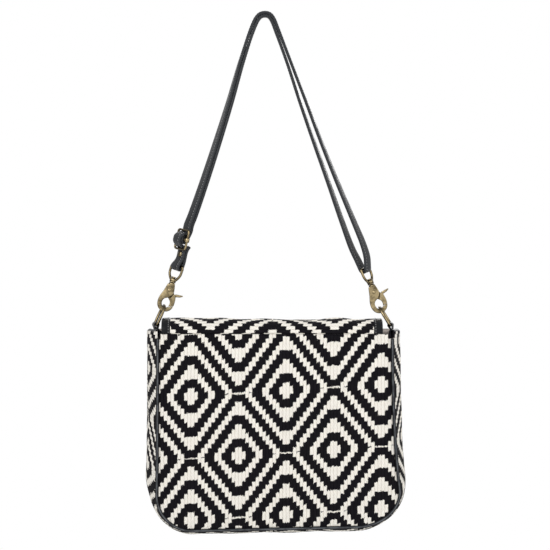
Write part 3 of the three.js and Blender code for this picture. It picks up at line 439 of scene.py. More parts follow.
# Painted highlight: the sharper the surface bends, at folds and edges, the lighter grey the leather is
# painted.
edge = node(tree, "MapRange", {0: form.outputs["Pointiness"], 1: 0.5, 2: 0.56})
wear_and_painted_highlight = node(tree, "Math", {0: creases, 1: edge}, operation="ADD", use_clamp=True)
tone = node(tree, "Mix", {0: wear_and_painted_highlight, 6: linear("#040405"), 7: linear("#17181b")}, data_type="RGBA")
gloss = node(tree, "MapRange", {0: creases, 1: 0.3, 2: 0.7, 3: 0.3, 4: 0.5})
pores = node(tree, "Math", {0: grain, 1: 0.5}, operation="MULTIPLY")
relief = node(tree, "Math", {0: creases, 1: 1.2, 2: pores}, operation="MULTIPLY_ADD")
bump = node(tree, "Bump", {"Height": relief, "Distance": 0.25 * MM, "Strength": 0.7})
feed(skin, {"Base Color": tone.outputs[2], "Roughness": gloss, "Normal": bump, "Specular IOR Level": 0.1})


# Piping: a cord wrapped in a strip of the leather, sewn into both seams of the gusset. It runs from one top
# corner of the bag round to the other. Its crest, where it faces straight front or back, is painted a
# patchy pale grey line: a painted highlight.
PIPING_R = 1.7
PIPING_START = 0.012
crest_lit_hide = hide.copy()
crest_lit_hide.name = "cowhide with a painted crest highlight"
tree = crest_lit_hide.node_tree
skin = tree.nodes["Principled BSDF"]
place = node(tree, "TexCoord", {})
axes = node(tree, "SeparateXYZ", {0: place.outputs["Normal"]})
facing = node(tree, "Math", {0: axes.outputs[1]}, operation="ABSOLUTE")
spots = node(tree, "TexNoise", {"Vector": place.outputs["Object"], "Scale": 1 / (6 * MM), "Detail": 4.0})
# Painted highlight: where the normal faces straight front or back, the leather is painted pale grey in
# patches.
crest = node(tree, "MapRange", {0: facing, 1: 0.85, 2: 1.0})
patchy = node(tree, "MapRange", {0: spots, 1: 0.35, 2: 0.6, 3: 0.35, 4: 1.0})
crest_highlight = node(tree, "Math", {0: crest, 1: patchy}, operation="MULTIPLY")
black_part = skin.inputs["Base Color"].links[0].from_node
tone_and_painted_light = node(tree, "Mix", {0: crest_highlight, 6: black_part.outputs[2], 7: linear("#626467")}, data_type="RGBA")
feed(skin, {"Base Color": tone_and_painted_light.outputs[2]})


def ring_point(centre, first, second, radius, turn):
    angle = 2 * math.pi * turn
    return centre + (first * math.cos(angle) + second * math.sin(angle)) * radius


def piping(name, spec, sign):
    def place(a, b):
        q = PIPING_START + b * (1 - 2 * PIPING_START)
        p = outline(spec, q)
        out = outward(spec, q)
        thick = PIPING_R * (1 + 0.07 * noise.noise(Vector((p.x, p.y, sign * 20)) / 5))
        centre = Vector((p.x, sign * SEAM_Y, p.y))
        at = ring_point(centre, Vector((out.x, 0, out.y)), Vector((0, 1, 0)), thick, a)
        return in_bag(*at)

    bm = mapped_grid(12, 420, place, joined=True)
    finish(f"{name}_leather", bm, crest_lit_hide, "bag", "black_leather", name)


piping("piping_back", BACK, -1)
piping("piping_front", FRONT, 1)


# Flap: cloth again, turned so that its ribs run across the bag. It is sewn to the top of the back
# panel, lies over the mouth in soft waves and hangs down the front, bound with leather on three sides.
FLAP_MID = -3.2
FLAP_WIDTH = 239.6
FLAP_RIM = 9.7
FLAP_CORNER = 34
FLAP_HEM = 84
FLAP_THICK = 2.6
FLAP_RIM_THICK = 3.8
MOUTH_RUN = 38  # along the flap to the middle of the mouth, where it waves most
MOUTH_SPREAD = 26
FLAP_BARE = FLAP_RIM - 2  # from the strip's outer edge to the raw edge of the cloth inside it
FLAP_DIAMOND = (30, -66.5)  # a diamond's middle, along from the seam and across from the flap's middle
flap_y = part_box("flap_binding")[1][1] / MM - FLAP_RIM_THICK / 2
flap_top = PANEL_TOP + 0.3
fall = FLAP_HEM - flap_top
flap_bends = [
    (-29.8, 0), (-28.2, 7), (-21.8, 12.6), (-10, 14.6), (8, 14.8), (flap_y - 18, 12.2), (flap_y - 7.5, 5),
    (flap_y - 2.2, -8), (flap_y - 0.3, fall * 0.23),
    *((flap_y, fall * share) for share in (0.46, 0.73, 1)),
]
flap_bends = [Vector((y, flap_top + rise)) for y, rise in flap_bends]


def eased(points, i, t):
    """The smooth curve through points, at share t of the way from point i to the next."""
    last = len(points) - 1
    p = [points[min(max(i + k, 0), last)] for k in (-1, 0, 1, 2)]
    if i == 0:
        p[0] = p[1] * 2 - p[2]
    if i + 2 > last:
        p[3] = p[2] * 2 - p[1]
    knots = [0.0]
    for a, b in zip(p, p[1:]):
        knots.append(knots[-1] + max((b - a).length, 1e-6) ** 0.5)
    at = knots[1] + (knots[2] - knots[1]) * t
    for width in (1, 2):
        p = [
            p[j].lerp(p[j + 1], (at - knots[j]) / (knots[j + width] - knots[j]))
            for j in range(len(p) - 1)
        ]
    return p[0].lerp(p[1], t)


def even(points, steps):
    """Points at even distances along the smooth curve, and its length."""
    run = [eased(points, i, j / 60) for i in range(len(points) - 1) for j in range(60)] + [points[-1]]
    gone = [0.0]
    for a, b in zip(run, run[1:]):
        gone.append(gone[-1] + (b - a).length)
    found = []
    j = 0
    for i in range(steps + 1):
        goal = gone[-1] * i / steps
        while j < len(run) - 2 and gone[j + 1] < goal:
            j += 1
        found.append(run[j].lerp(run[j + 1], min((goal - gone[j]) / max(gone[j + 1] - gone[j], 1e-9), 1)))
    return found, gone[-1]


FLAP_STEPS = 190
flap_line, flap_length = even(flap_bends, FLAP_STEPS)


def flap_point(x, run, grow):
    """A point of the flap x from its middle and run along it from the seam, grow above its middle."""
    at = min(max(run / flap_length, 0), 1) * FLAP_STEPS
    i = min(int(at), FLAP_STEPS - 1)
    p = flap_line[i].lerp(flap_line[i + 1], at - i)
    along = (flap_line[min(i + 3, FLAP_STEPS)] - flap_line[max(i - 3, 0)]).normalized()
    out = Vector((-along.y, along.x))
    # The waves are deepest over the mouth. Slighter ones run on down the front.
    over_mouth = math.exp(-(((run - MOUTH_RUN) / MOUTH_SPREAD) ** 2))
    wave = over_mouth * (cloth_wave((x, 7, run * 0.6), 34, 3.2) - 0.6)
    wave += 0.5 * cloth_wave((x, run, 31), 40, 1.4) * min(run / 60, 1)
    p = p + out * (grow + wave)
    return in_bag(x + FLAP_MID, p.x, p.y)


def flap_cloth_place(a, b):
    hem = flap_length - FLAP_BARE
    corner = FLAP_CORNER - FLAP_BARE
    dip = max(1 - (1 - b) * hem / corner, 0)
    half = FLAP_WIDTH / 2 - FLAP_BARE - corner * (1 - math.sqrt(1 - dip * dip))
    return flap_point((2 * a - 1) * half, b * hem, 0)


FLAP_ACROSS = 160
flap_bm = mapped_grid(FLAP_ACROSS, FLAP_STEPS, flap_cloth_place)


def flap_weave(vert):
    run = vert.index // (FLAP_ACROSS + 1) / FLAP_STEPS * (flap_length - FLAP_BARE) - FLAP_DIAMOND[0]
    return (run * MM / RIB, (vert.co.x - (BAG_X + FLAP_MID + FLAP_DIAMOND[1]) * MM) / ROW)


weave_uv(flap_bm, flap_weave)
face_out(flap_bm)
finish("flap_cloth", flap_bm, cotton, "bag", "woven_cotton", "flap", thick=FLAP_THICK, offset=0)


# Leather strip round the flap: a band folded over the raw edge of the cloth down both sides and
# round the hem, and sewn through both leaves with one line of waxed thread.
FLAP_SEW = 7.6  # the line of stitches from the outer edge of the strip
STITCH_LONG = 2.3
STITCH_PITCH = 3.1
THREAD_R = 0.32
STITCH_END = 0.12  # the share of its section that a stitch keeps where it dips into the leather

# The thread shows pale grey on the black leather, with the slant of its ply.
thread, tree, skin = new_material("waxed thread")
place = node(tree, "TexCoord", {})
ply = node(
    tree, "TexWave", {"Vector": place.outputs["Object"], "Scale": 1.1 / MM, "Distortion": 1.0},
    bands_direction="DIAGONAL",
)
tone = node(tree, "Mix", {0: ply, 6: linear("#5a5a5c"), 7: linear("#a9a8a5")}, data_type="RGBA")
bump = node(tree, "Bump", {"Height": ply, "Distance": 0.1 * MM, "Strength": 0.6})
feed(skin, {"Base Color": tone.outputs[2], "Roughness": 0.6, "Normal": bump})


def join_rings(bm, rings, capped=True):
    """Faces from each ring of vertices to the next, and over both ends if capped."""
    for first, second in zip(rings, rings[1:]):
        for j in range(len(first)):
            k = (j + 1) % len(first)
            bm.faces.new((first[j], first[k], second[k], second[j]))
    if capped:
        bm.faces.new(rings[0][::-1])
        bm.faces.new(rings[-1])


def sew(name, lines):
    """Stitches along lines of (place, outward) pairs, which stand a little proud of the leather."""
    bm = bmesh.new()
    radius = THREAD_R * MM
    for line in lines:
        gone = 0.0
        due = STITCH_PITCH * MM / 2
        for (a, out), (b, _) in zip(line, line[1:]):
            span = (b - a).length
            while gone + span >= due:
                at = a.lerp(b, (due - gone) / span)
                along = (b - a).normalized()
                side = along.cross(out).normalized()
                rings = []
                for share in (-1, -0.5, 0, 0.5, 1):
                    thick = radius * math.sqrt(max(1 - share**4, STITCH_END))
                    centre = at + along * share * STITCH_LONG * MM / 2 + out * radius * (0.5 - share**4)
                    points = [ring_point(centre, side, out, thick, j / 6) for j in range(6)]
                    rings.append([bm.verts.new(p) for p in points])
                join_rings(bm, rings)
                due += STITCH_PITCH * MM
            gone += span
    face_out(bm)
    finish(name, bm, thread, "bag", "black_leather")


def flap_edge():
    """Places along the flap's outer edge, each with the way in from it, as (x, run) pairs."""
    half = FLAP_WIDTH / 2
    low = flap_length - FLAP_CORNER
    found = [(Vector((-half, low * i / 110)), Vector((1, 0))) for i in range(110)]
    for i in range(29):
        turn = math.pi / 2 * i / 28
        inward = Vector((math.cos(turn), -math.sin(turn)))
        found.append((Vector((-half + FLAP_CORNER, low)) - inward * FLAP_CORNER, inward))
    wide = half - FLAP_CORNER
    found += [(Vector((wide * (i / 30 - 1), flap_length)), Vector((0, -1))) for i in range(1, 31)]
    mirrored = [(Vector((-p.x, p.y)), Vector((-inward.x, inward.y))) for p, inward in found[:-1]]
    return found + mirrored[::-1]


rim_edge = flap_edge()
half = FLAP_RIM_THICK / 2
RIM_FOLD = 1.3
rim_section = []
for i in range(9):
    turn = math.pi / 2 + math.pi * i / 8
    rim_section.append((RIM_FOLD + RIM_FOLD * math.cos(turn), half * math.sin(turn)))
rim_leaf = [(FLAP_SEW - 1, -half), (FLAP_SEW, 0.25 - half), (FLAP_RIM - 1, 0.1 - half)]
rim_leaf += [(FLAP_RIM - 0.2, 0.5 - half), (FLAP_RIM, -FLAP_THICK / 2)]
rim_section += rim_leaf + [(deep, -rise) for deep, rise in reversed(rim_leaf)]


def rim_place(i, deep, rise):
    at, inward = rim_edge[i]
    p = at + inward * deep
    return flap_point(p.x, p.y, rise)


rim_bm = swept(rim_section, len(rim_edge), rim_place)
finish("flap_strip", rim_bm, hide, "bag", "black_leather", "flap_binding")
sewn = []
for face in (-1, 1):
    line = []
    for at, inward in rim_edge:
        p = at + inward * FLAP_SEW
        low = flap_point(p.x, p.y, face * (FLAP_RIM_THICK / 2 - 0.25))
        high = flap_point(p.x, p.y, face * (FLAP_RIM_THICK / 2 + 1))
        line.append((low, (high - low).normalized()))
    sewn.append(line)
sew("flap_stitching", sewn)


# Gusset bindings: a strip of the leather folded over each top end of the gusset, so that the raw cloth
# is closed in between the two seams.
BINDING_THICK = 1.4
BINDING_DEEP = 6
BINDING_STEPS = 24
BINDING_START = 0.015  # share of the gusset's width left bare at each end, beside the piping


def binding(name, end):
    section = []
    for skin_out, turned in ((BINDING_THICK + 0.3, False), (0.3, True)):
        half = CLOTH / 2 + skin_out
        arc = [(half * math.cos(math.pi * i / 8), half * 0.7 * math.sin(math.pi * i / 8)) for i in range(9)]
        leg = [(half, -BINDING_DEEP), (half, -BINDING_DEEP / 2)]
        walk = [*leg, *arc, *((-aside, up) for aside, up in reversed(leg))]
        section += walk[::-1] if turned else walk

    def place(i, aside, up):
        across = BINDING_START + i / BINDING_STEPS * (1 - 2 * BINDING_START)
        return gusset_point(end, across, aside - CLOTH / 2) + Vector((0, 0, up * MM))

    bm = swept(section, BINDING_STEPS + 1, place)
    finish(f"{name}_leather", bm, hide, "bag", "black_leather", name)


binding("gusset_binding_left", 0)
binding("gusset_binding_right", 1)


# Lining: fine twill cotton in a warm beige, sewn as a pouch that hangs a little inside the cloth
# and puckers round its mouth.
LINING_TOP = 219
LINING_FLOOR = 10
LINING_INSET = 4.8
LINING_Y = SEAM_Y - CLOTH - 2.2
LINING_SIDES = 0.82  # the share of the mesh that is side, before the floor
twill, tree, skin = new_material("beige cotton twill")
place = node(tree, "TexCoord", {})
diagonal = node(
    tree, "TexWave", {"Vector": place.outputs["Object"], "Scale": 0.35 / MM, "Distortion": 0.6},
    bands_direction="DIAGONAL",
)
faded = node(tree, "TexNoise", {"Vector": place.outputs["Object"], "Scale": 1 / (25 * MM), "Detail": 4.0})
mixed = node(tree, "Math", {0: diagonal, 1: 0.4, 2: faded}, operation="MULTIPLY_ADD")
tone = node(tree, "Mix", {0: mixed, 6: linear("#a99c92"), 7: linear("#cfc4bb")}, data_type="RGBA")
bump = node(tree, "Bump", {"Height": diagonal, "Distance": 0.15 * MM, "Strength": 0.6})
feed(skin, {"Base Color": tone.outputs[2], "Roughness": 0.9, "Normal": bump})


def squared(v, power=0.34):
    """A sine or cosine pushed towards 1 and -1, so that the circle turns into a rounded square."""
    return math.copysign(abs(v) ** power, v)


def lining_place(a, b):
    turn = 2 * math.pi * a
    fall = min(b / LINING_SIDES, 1)
    z = LINING_TOP + (LINING_FLOOR - LINING_TOP) * fall
    shrink = 1 - max(b - LINING_SIDES, 0) / (1 - LINING_SIDES) * 0.97
    side = "left" if math.cos(turn) < 0 else "right"
    y = LINING_Y * squared(math.sin(turn))
    share = (y / SEAM_Y + 1) / 2
    out = reach(BACK, side, z) + (reach(FRONT, side, z) - reach(BACK, side, z)) * share - LINING_INSET
    x = out * squared(math.cos(turn))
    pucker = 0.9 * noise.noise(Vector((x / 7, y / 7, z / 40))) * (1 - fall) + cloth_wave((x, y, z), 25, 0.5)
    x, y = (v - math.copysign(pucker, v) for v in (x, y))
    return in_bag(x * shrink, y * shrink, z)


lining_bm = mapped_grid(160, 70, lining_place, joined=True)
finish("lining_pouch", lining_bm, twill, "bag", "lining_cloth", "lining", thick=1.0)


# Strap: one length of the leather folded to four leaves and sewn along one edge. It starts round the
# slider's bar, runs up and over the crown, down to the right clasp's bail, back over itself through
# the slider and the left bail, and is riveted to itself.
CLEARANCE = 0.3
STRAP_WIDTH = 12
STRAP_THICK = 3.2
GUSSET_OUT = {
    "left": (BACK["left"][0] + FRONT["left"][0]) / 2 + GUSSET_BULGE,
    "right": (BACK["right"][0] + FRONT["right"][0]) / 2 + GUSSET_BULGE,
}
# Each clasp: where its neck is, its lean to the side, and the twist of its bail.
CLASPS = {
    "left": (Vector((-101.5, 0, -289.8)), 17.8, -40),
    "right": (Vector((115.9, 0, -292)), -21.5, 55),
}
BAIL_HEIGHT = 19.5
BAIL_WIDTH = 17
BAIL_WIRE_R = 1.4
SLIDER_WIDTH = 18.4
SLIDER_HEIGHT = 21
SLIDER_WIRE_R = 1.3


def turned(axis, degrees):
    return Matrix.Rotation(math.radians(degrees), 4, axis)


clasp_frame = {side: Matrix.Translation(at) @ turned("Y", lean) for side, (at, lean, _) in CLASPS.items()}
bail_frame = {side: clasp_frame[side] @ turned("Z", CLASPS[side][2]) for side in CLASPS}
slider_at = CLASPS["left"][0] + Vector((10.9, -3.3, 47.5))
slider_frame = Matrix.Translation(slider_at) @ turned("Y", 13) @ turned("Z", -50)

PAIR = (STRAP_THICK + CLEARANCE) / 2
SHOULDERS = Vector((-14.4, 0, -14.4)), Vector((13, 0, -14.4))


def leg(start, end, stations):
    along = (end - start).normalized()
    side = Vector((-along.z, 0, along.x))
    found = []
    for share, bow, turn, off in stations:
        p = start.lerp(end, share) + side * bow
        found.append((p.x, p.z, turn, off))
    return found


route = leg(
    CLASPS["left"][0] + Vector((22.1, 0, 72.4)), SHOULDERS[0],
    [(0, 0, 37, PAIR), (0.193, -1, 29, PAIR), (0.406, -1.25, 22, PAIR), (0.619, -0.9, 14, PAIR),
     (0.829, 0.4, 6, PAIR), (1, 0, 0, PAIR)],
)
route += [(-8.6, -1.6, 0, PAIR), (-4.9, 2.2, 0, PAIR), (0, STRAP_THICK + CLEARANCE / 2, 0, PAIR)]
route += [(4.7, 2.1, 0, PAIR), (8.2, -2.4, 0, PAIR)]
route += leg(
    SHOULDERS[1], CLASPS["right"][0] + Vector((-9.7, 0, 28.5)),
    [(0, 0, 0, PAIR), (0.138, 0, 2, PAIR + 0.3), (0.311, -0.7, 5, 3.2), (0.484, -1.15, 10, 3.8),
     (0.657, -0.95, 15, 4.7), (0.84, -0.55, 21, 6.4), (0.945, -0.15, 27, 7.2), (1, 0, 32, 6)],
)


def route_stations(layer):
    middle = [Vector((x, 0, z)) for x, z, _, _ in route]
    found = []
    for i, (_, _, turn, off) in enumerate(route):
        along = heading(middle, i)
        out = Vector((-along.z, 0, along.x))
        a = math.radians(turn)
        face = out * math.cos(a) + Vector((0, -math.sin(a), 0))
        wide = out * math.sin(a) + Vector((0, math.cos(a), 0))
        found.append((middle[i] + face * layer * off, wide))
    return found


def bail_stations(side):
    frame_here = bail_frame[side]
    middle = frame_here @ Vector((0, 0, BAIL_HEIGHT))
    wide = frame_here.to_3x3() @ Vector((1, 0, 0))
    if wide.y < 0:
        wide.negate()
    up = frame_here.to_3x3() @ Vector((0, 0, 1))
    across = wide.cross(up)
    r = BAIL_WIRE_R + 2 * CLEARANCE + STRAP_THICK / 2
    turns = [math.radians(d) for d in (-172, -145, -117, -90, -63, -35, -8)]
    return [(middle + across * r * math.cos(t) + up * r * math.sin(t), wide) for t in turns]


def slider_stations(pairs):
    wide = slider_frame.to_3x3() @ Vector((-1, 0, 0))
    return [(slider_frame @ Vector((0, -front, -down)), wide) for down, front in pairs]


WRAP = SLIDER_WIRE_R + CLEARANCE + STRAP_THICK / 2
OVER = WRAP + STRAP_THICK + CLEARANCE
HALF = SLIDER_HEIGHT / 2
strap_stations = [
    *slider_stations([(-1.6, WRAP), (0.7, WRAP), (2.4, 2.3), (WRAP, 0), (2.4, -2.3), (0, -WRAP - 0.1),
                      (-4, -WRAP - 1.9), (-HALF, -OVER - 0.1), (-17, -OVER)]),
    *route_stations(-1),
    *bail_stations("right"),
    *route_stations(1)[::-1],
    *slider_stations([(-17, -WRAP - 0.1), (-HALF, -WRAP - 0.05), (-HALF + 2.5, -2.3),
                      (-HALF + WRAP + 0.05, 0.1), (-5.1, 4.3), (-2.7, OVER - 0.3), (0, OVER + 0.1),
                      (2.7, OVER - 0.3), (5.1, 4.3), (HALF - WRAP - 0.05, 0.1), (HALF - 2.5, -2.3),
                      (HALF, -WRAP - 0.05), (HALF + 2.5, -WRAP - 0.1), (20, -WRAP - 0.1), (25, -1.4)]),
    *bail_stations("left"),
    *slider_stations([(25, -OVER - 0.1), (20, -OVER - 0.15), (HALF + 2.5, -OVER - 0.15),
                      (9.2, -OVER - 1), (6.4, -OVER - 2.6)]),
]

STRAP_STEP = 2.2
strap_points = [p for p, _ in strap_stations]
strap_line = []
for i in range(len(strap_points) - 1):
    span = (strap_points[i + 1] - strap_points[i]).length
    pieces = max(3, round(span / STRAP_STEP))
    for j in range(pieces):
        t = j / pieces
        wide = strap_stations[i][1].lerp(strap_stations[i + 1][1], t)
        strap_line.append((eased(strap_points, i, t), wide))
strap_line.append(strap_stations[-1])


strap_middle = [p for p, _ in strap_line]


def strap_frame(i):
    along = heading(strap_middle, i)
    wide = strap_line[i][1] - along * strap_line[i][1].dot(along)
    wide.normalize()
    return wide, along.cross(wide)


# The section of the folded strap: a round fold on one edge, two raw edges with a seam between on the
# other, and a shallow channel where the stitches lie.
STRAP_SEW = 3.9
w, h = STRAP_WIDTH / 2, STRAP_THICK / 2
FOLD = 1.3
CHANNEL = 0.22
turns = [math.pi * i / 6 for i in range(7)]
strap_section = [(FOLD - w - FOLD * math.sin(turn), h * math.cos(turn)) for turn in turns]
strap_leaf = [(3 - w, -h - 0.05), (0, -h), (STRAP_SEW - 1, -h), (STRAP_SEW, CHANNEL - h)]
strap_leaf += [(STRAP_SEW + 1, -h), (w - 0.9, 0.15 - h), (w - 0.1, 0.9 - h), (w, -0.25)]
strap_section += [*strap_leaf, (w - 0.45, 0), *((aside, -out) for aside, out in reversed(strap_leaf))]
strap_section = [(-aside, out) for aside, out in reversed(strap_section)]


def strap_place(i, aside, out):
    wide, face = strap_frame(i)
    return (strap_middle[i] + wide * aside + face * out) * MM


# The strap's copy of the leather is painted a lighter grey in its creases and along its edges, a painted
# highlight, and is shinier than the trim.
strap_lit_hide = hide.copy()
strap_lit_hide.name = "black cowhide with painted strap highlights"
skin = strap_lit_hide.node_tree.nodes["Principled BSDF"]
feed(skin, {"Specular IOR Level": 0.22})
feed(skin.inputs["Base Color"].links[0].from_node, {6: linear("#020203"), 7: linear("#313336")})
strap_bm = swept(strap_section, len(strap_middle), strap_place)
finish("strap_leather", strap_bm, strap_lit_hide, "bag", "black_leather", "strap")
sewn = []
for turn in (-1, 1):
    line = []
    for i in range(len(strap_middle)):
        out = strap_frame(i)[1] * turn
        line.append((strap_place(i, -STRAP_SEW, turn * (h - CHANNEL)), out))
    sewn.append(line)
sew("strap_stitching", sewn)


# Antique brass: cast and drawn fittings, browned all over. Their front and back faces are painted a patchy
# dull gold, a painted highlight, so that their sides stay dark as painted shade; wear lightens their edges,
# and their recesses keep a dark patina.
brass, tree, skin = new_material("antique brass")
place = node(tree, "TexCoord", {})
spot = place.outputs["Object"]
form = node(tree, "NewGeometry", {})
cloud = node(tree, "TexNoise", {"Vector": spot, "Scale": 1 / (5 * MM), "Detail": 6.0})
speck = node(tree, "TexNoise", {"Vector": spot, "Scale": 1 / (0.7 * MM), "Detail": 3.0})
edge = node(tree, "MapRange", {0: form.outputs["Pointiness"], 1: 0.5, 2: 0.62, 4: 0.5})
recess = node(tree, "AmbientOcclusion", {"Distance": 4 * MM}, samples=8)
# Painted highlight and shade: faces turned straight front or back are painted pale gold, and the sides are
# left dark.
axes = node(tree, "SeparateXYZ", {0: place.outputs["Normal"]})
facing = node(tree, "Math", {0: axes.outputs[1]}, operation="ABSOLUTE")
crown = node(tree, "MapRange", {0: facing, 1: 0.72, 2: 1.0})
cloudy = node(tree, "MapRange", {0: cloud, 1: 0.38, 2: 0.62, 3: 0.25, 4: 1.0})
open_side = node(tree, "Math", {0: recess.outputs["AO"], 1: 2.0}, operation="POWER")
tone_and_painted_light = node(tree, "Math", {0: crown, 1: cloudy}, operation="MULTIPLY")
tone_and_painted_light = node(tree, "Math", {0: tone_and_painted_light, 1: edge}, operation="ADD")
wear_and_painted_highlight = node(tree, "Math", {0: tone_and_painted_light, 1: open_side}, operation="MULTIPLY", use_clamp=True)
tone = node(tree, "Mix", {0: wear_and_painted_highlight, 6: linear("#1a150e"), 7: linear("#ab9a76")}, data_type="RGBA")
gloss = node(tree, "MapRange", {0: speck, 1: 0.3, 2: 0.7, 3: 0.26, 4: 0.44})
bump = node(tree, "Bump", {"Height": speck, "Distance": 0.06 * MM, "Strength": 0.5})
feed(skin, {"Base Color": tone.outputs[2], "Metallic": 1.0, "Roughness": gloss, "Normal": bump})


def tube(name, points, radius, place, body, *replaced, loop=False, sides=14, pieces=10):
    """A round wire bent along a smooth curve through points."""
    count = len(points) if loop else len(points) - 1
    ring = points[-1:] + points + points[:2] if loop else points
    centres = [eased(ring, i + loop, j / pieces) for i in range(count) for j in range(pieces)]
    if not loop:
        centres.append(points[-1])
    normal = None
    rings = []
    bm = bmesh.new()
    for i, centre in enumerate(centres):
        along = heading(centres, i, closed=loop)
        if normal is None:
            normal = along.orthogonal()
        normal = (normal - along * normal.dot(along)).normalized()
        across = along.cross(normal)
        points_here = [ring_point(centre, normal, across, radius, j / sides) for j in range(sides)]
        rings.append([bm.verts.new(place @ p * MM) for p in points_here])
    if loop:
        twist = min(range(sides), key=lambda k: (rings[-1][0].co - rings[0][k].co).length)
        rings.append(rings[0][twist:] + rings[0][:twist])
    join_rings(bm, rings, capped=not loop)
    face_out(bm)
    finish(name, bm, brass, body, "antique_brass", *replaced)


def add_piece(bm, piece, place):
    """Turns and moves a piece to its place and makes it part of bm."""
    metres = place.copy()
    metres.translation *= MM
    bmesh.ops.transform(piece, matrix=metres, verts=piece.verts)
    part = bpy.data.meshes.new("part")
    piece.to_mesh(part)
    piece.free()
    bm.from_mesh(part)
    bpy.data.meshes.remove(part)


def lathe(bm, profile, place, steps=28):
    """A turned form about its own Z, from pairs of radius and height."""
    piece = bmesh.new()
    verts = [piece.verts.new((r * MM, 0, z * MM)) for r, z in profile]
    edges = [piece.edges.new(pair) for pair in zip(verts, verts[1:])]
    whole = {"cent": (0, 0, 0), "axis": (0, 0, 1), "angle": 2 * math.pi, "use_merge": True}
    bmesh.ops.spin(piece, geom=verts + edges, steps=steps, **whole)
    bmesh.ops.remove_doubles(piece, verts=piece.verts, dist=1e-7)
    face_out(piece)
    add_piece(bm, piece, place)


# Slider: a frame of round brass wire with a bar across its middle, whose ends are rolled round the
# frame's sides.
w, h = SLIDER_WIDTH / 2, SLIDER_HEIGHT / 2
SLIDER_ROUND = 2.4
corner = [(w, 3), (w, h - SLIDER_ROUND), (w - 0.7, h - 0.7), (w - SLIDER_ROUND, h), (3, h)]
frame_points = []
for sx, sz in ((1, 1), (-1, 1), (-1, -1), (1, -1)):
    turned_corner = corner if sx * sz > 0 else corner[::-1]
    frame_points += [Vector((sx * x, 0, sz * z)) for x, z in turned_corner]
tube("slider_wire", frame_points, SLIDER_WIRE_R, slider_frame, "bag", "slider_frame", loop=True, pieces=5)

bar_bm = bmesh.new()
hole = SLIDER_WIRE_R + CLEARANCE
bar_profile = [(0, -w + hole), (SLIDER_WIRE_R, -w + hole), (SLIDER_WIRE_R, w - hole), (0, w - hole)]
lathe(bar_bm, bar_profile, slider_frame @ turned("Y", 90))
knuckle = [(hole, -2.2), (hole + 0.8, -2.2), (hole + 1, -1.9)]
knuckle += [(r, -z) for r, z in reversed(knuckle)] + knuckle[:1]
for sx in (-1, 1):
    lathe(bar_bm, knuckle, slider_frame @ Matrix.Translation((sx * w, 0, 0)))
finish("slider_rod", bar_bm, brass, "bag", "antique_brass", "slider_bar")


# Rivet: a turned brass post through all the leaves, with a domed head on each face of the strap. It
# holds the strap's folded end under the slider.
RIVET_R = 1.4
RIVET_HEAD_R = 3.4
RIVET_DOWN = HALF + SLIDER_WIRE_R + RIVET_HEAD_R + 0.6
rivet_front = -WRAP - 0.1 + STRAP_THICK / 2 + CLEARANCE
rivet_back = -OVER - 0.15 - STRAP_THICK / 2 - CLEARANCE
dome = [(0, 1.25), (1.2, 1.2), (2.2, 0.95), (3, 0.5), (RIVET_HEAD_R, 0.1), (RIVET_HEAD_R, 0), (RIVET_R, 0)]
rivet_bm = bmesh.new()
post = slider_frame @ Matrix.Translation((0, 0, -RIVET_DOWN)) @ turned("X", 90)
front = [(r, z + rivet_front) for r, z in dome]
back = [(r, rivet_back - z) for r, z in dome]
lathe(rivet_bm, front + back[::-1], post)
finish("strap_rivet_brass", rivet_bm, brass, "bag", "antique_brass", "strap_rivet")


# Bails: a loop of brass wire for the strap, whose feet join in the collar that the hook turns in.
COLLAR_R = 3.7
COLLAR_HIGH = 5
BAIL_GAP = 0.5
STUD_R = 1.7
BAIL_ROUND = 2
w, top, foot = BAIL_WIDTH / 2, BAIL_HEIGHT, BAIL_GAP + COLLAR_HIGH / 2
half_bail = [
    (COLLAR_R - 0.8, foot), (COLLAR_R + 1.6, foot + 2.6), (w - 0.5, foot + 7), (w, top - BAIL_ROUND - 1),
    (w, top - BAIL_ROUND), (w - 0.6, top - 0.6), (w - BAIL_ROUND, top), (w / 2, top),
]
bail_points = [Vector((-x, 0, z)) for x, z in half_bail] + [Vector((x, 0, z)) for x, z in half_bail[::-1]]
collar_top = BAIL_GAP + COLLAR_HIGH
collar = [
    (STUD_R + CLEARANCE, BAIL_GAP), (COLLAR_R - 0.6, BAIL_GAP), (COLLAR_R, BAIL_GAP + 0.6), (COLLAR_R, 1.6),
    (COLLAR_R - 0.35, 1.9), (COLLAR_R - 0.35, 2.2), (COLLAR_R, 2.5), (COLLAR_R, collar_top - 1.4),
    (COLLAR_R - 0.5, collar_top - 0.3), (COLLAR_R - 1.2, collar_top), (STUD_R + CLEARANCE, collar_top),
    (STUD_R + CLEARANCE, BAIL_GAP),
]
for side in CLASPS:
    tube(f"bail_wire_{side}", bail_points, BAIL_WIRE_R, bail_frame[side], "bag", pieces=6)
    collar_bm = bmesh.new()
    lathe(collar_bm, collar, bail_frame[side])
    finish(f"bail_collar_{side}", collar_bm, brass, "bag", "antique_brass", f"clasp_bail_{side}")


# Hooks: cast brass, a neck that turns in the collar and a hook that sweeps round the eye to its nose.
# The gate is a crescent that closes the eye, with a thumb piece. Its tongue lies in a slot of the hook
# and turns there on a riveted pin.
CLASP_THICK = 4.8
EYE = (0, -22.6, 4.3, 5.3)  # its middle, across and up, and its half width and half height
HOOK_LOW = -32.4
PIVOT = (-0.4, -8.2)
HOOK_ROUND = 2.2
GATE_ROUND = 0.9
SLOT_WIDE = 2.6
TONGUE_THICK = 2


def bent(points, steps):
    """Points along a Bezier arc from the first to the last of four points, without the first."""
    a, b, c, d = (Vector(p) for p in points)
    found = []
    for i in range(1, steps + 1):
        t = i / steps
        found.append(a * (1 - t) ** 3 + b * 3 * t * (1 - t) ** 2 + c * 3 * t * t * (1 - t) + d * t**3)
    return found


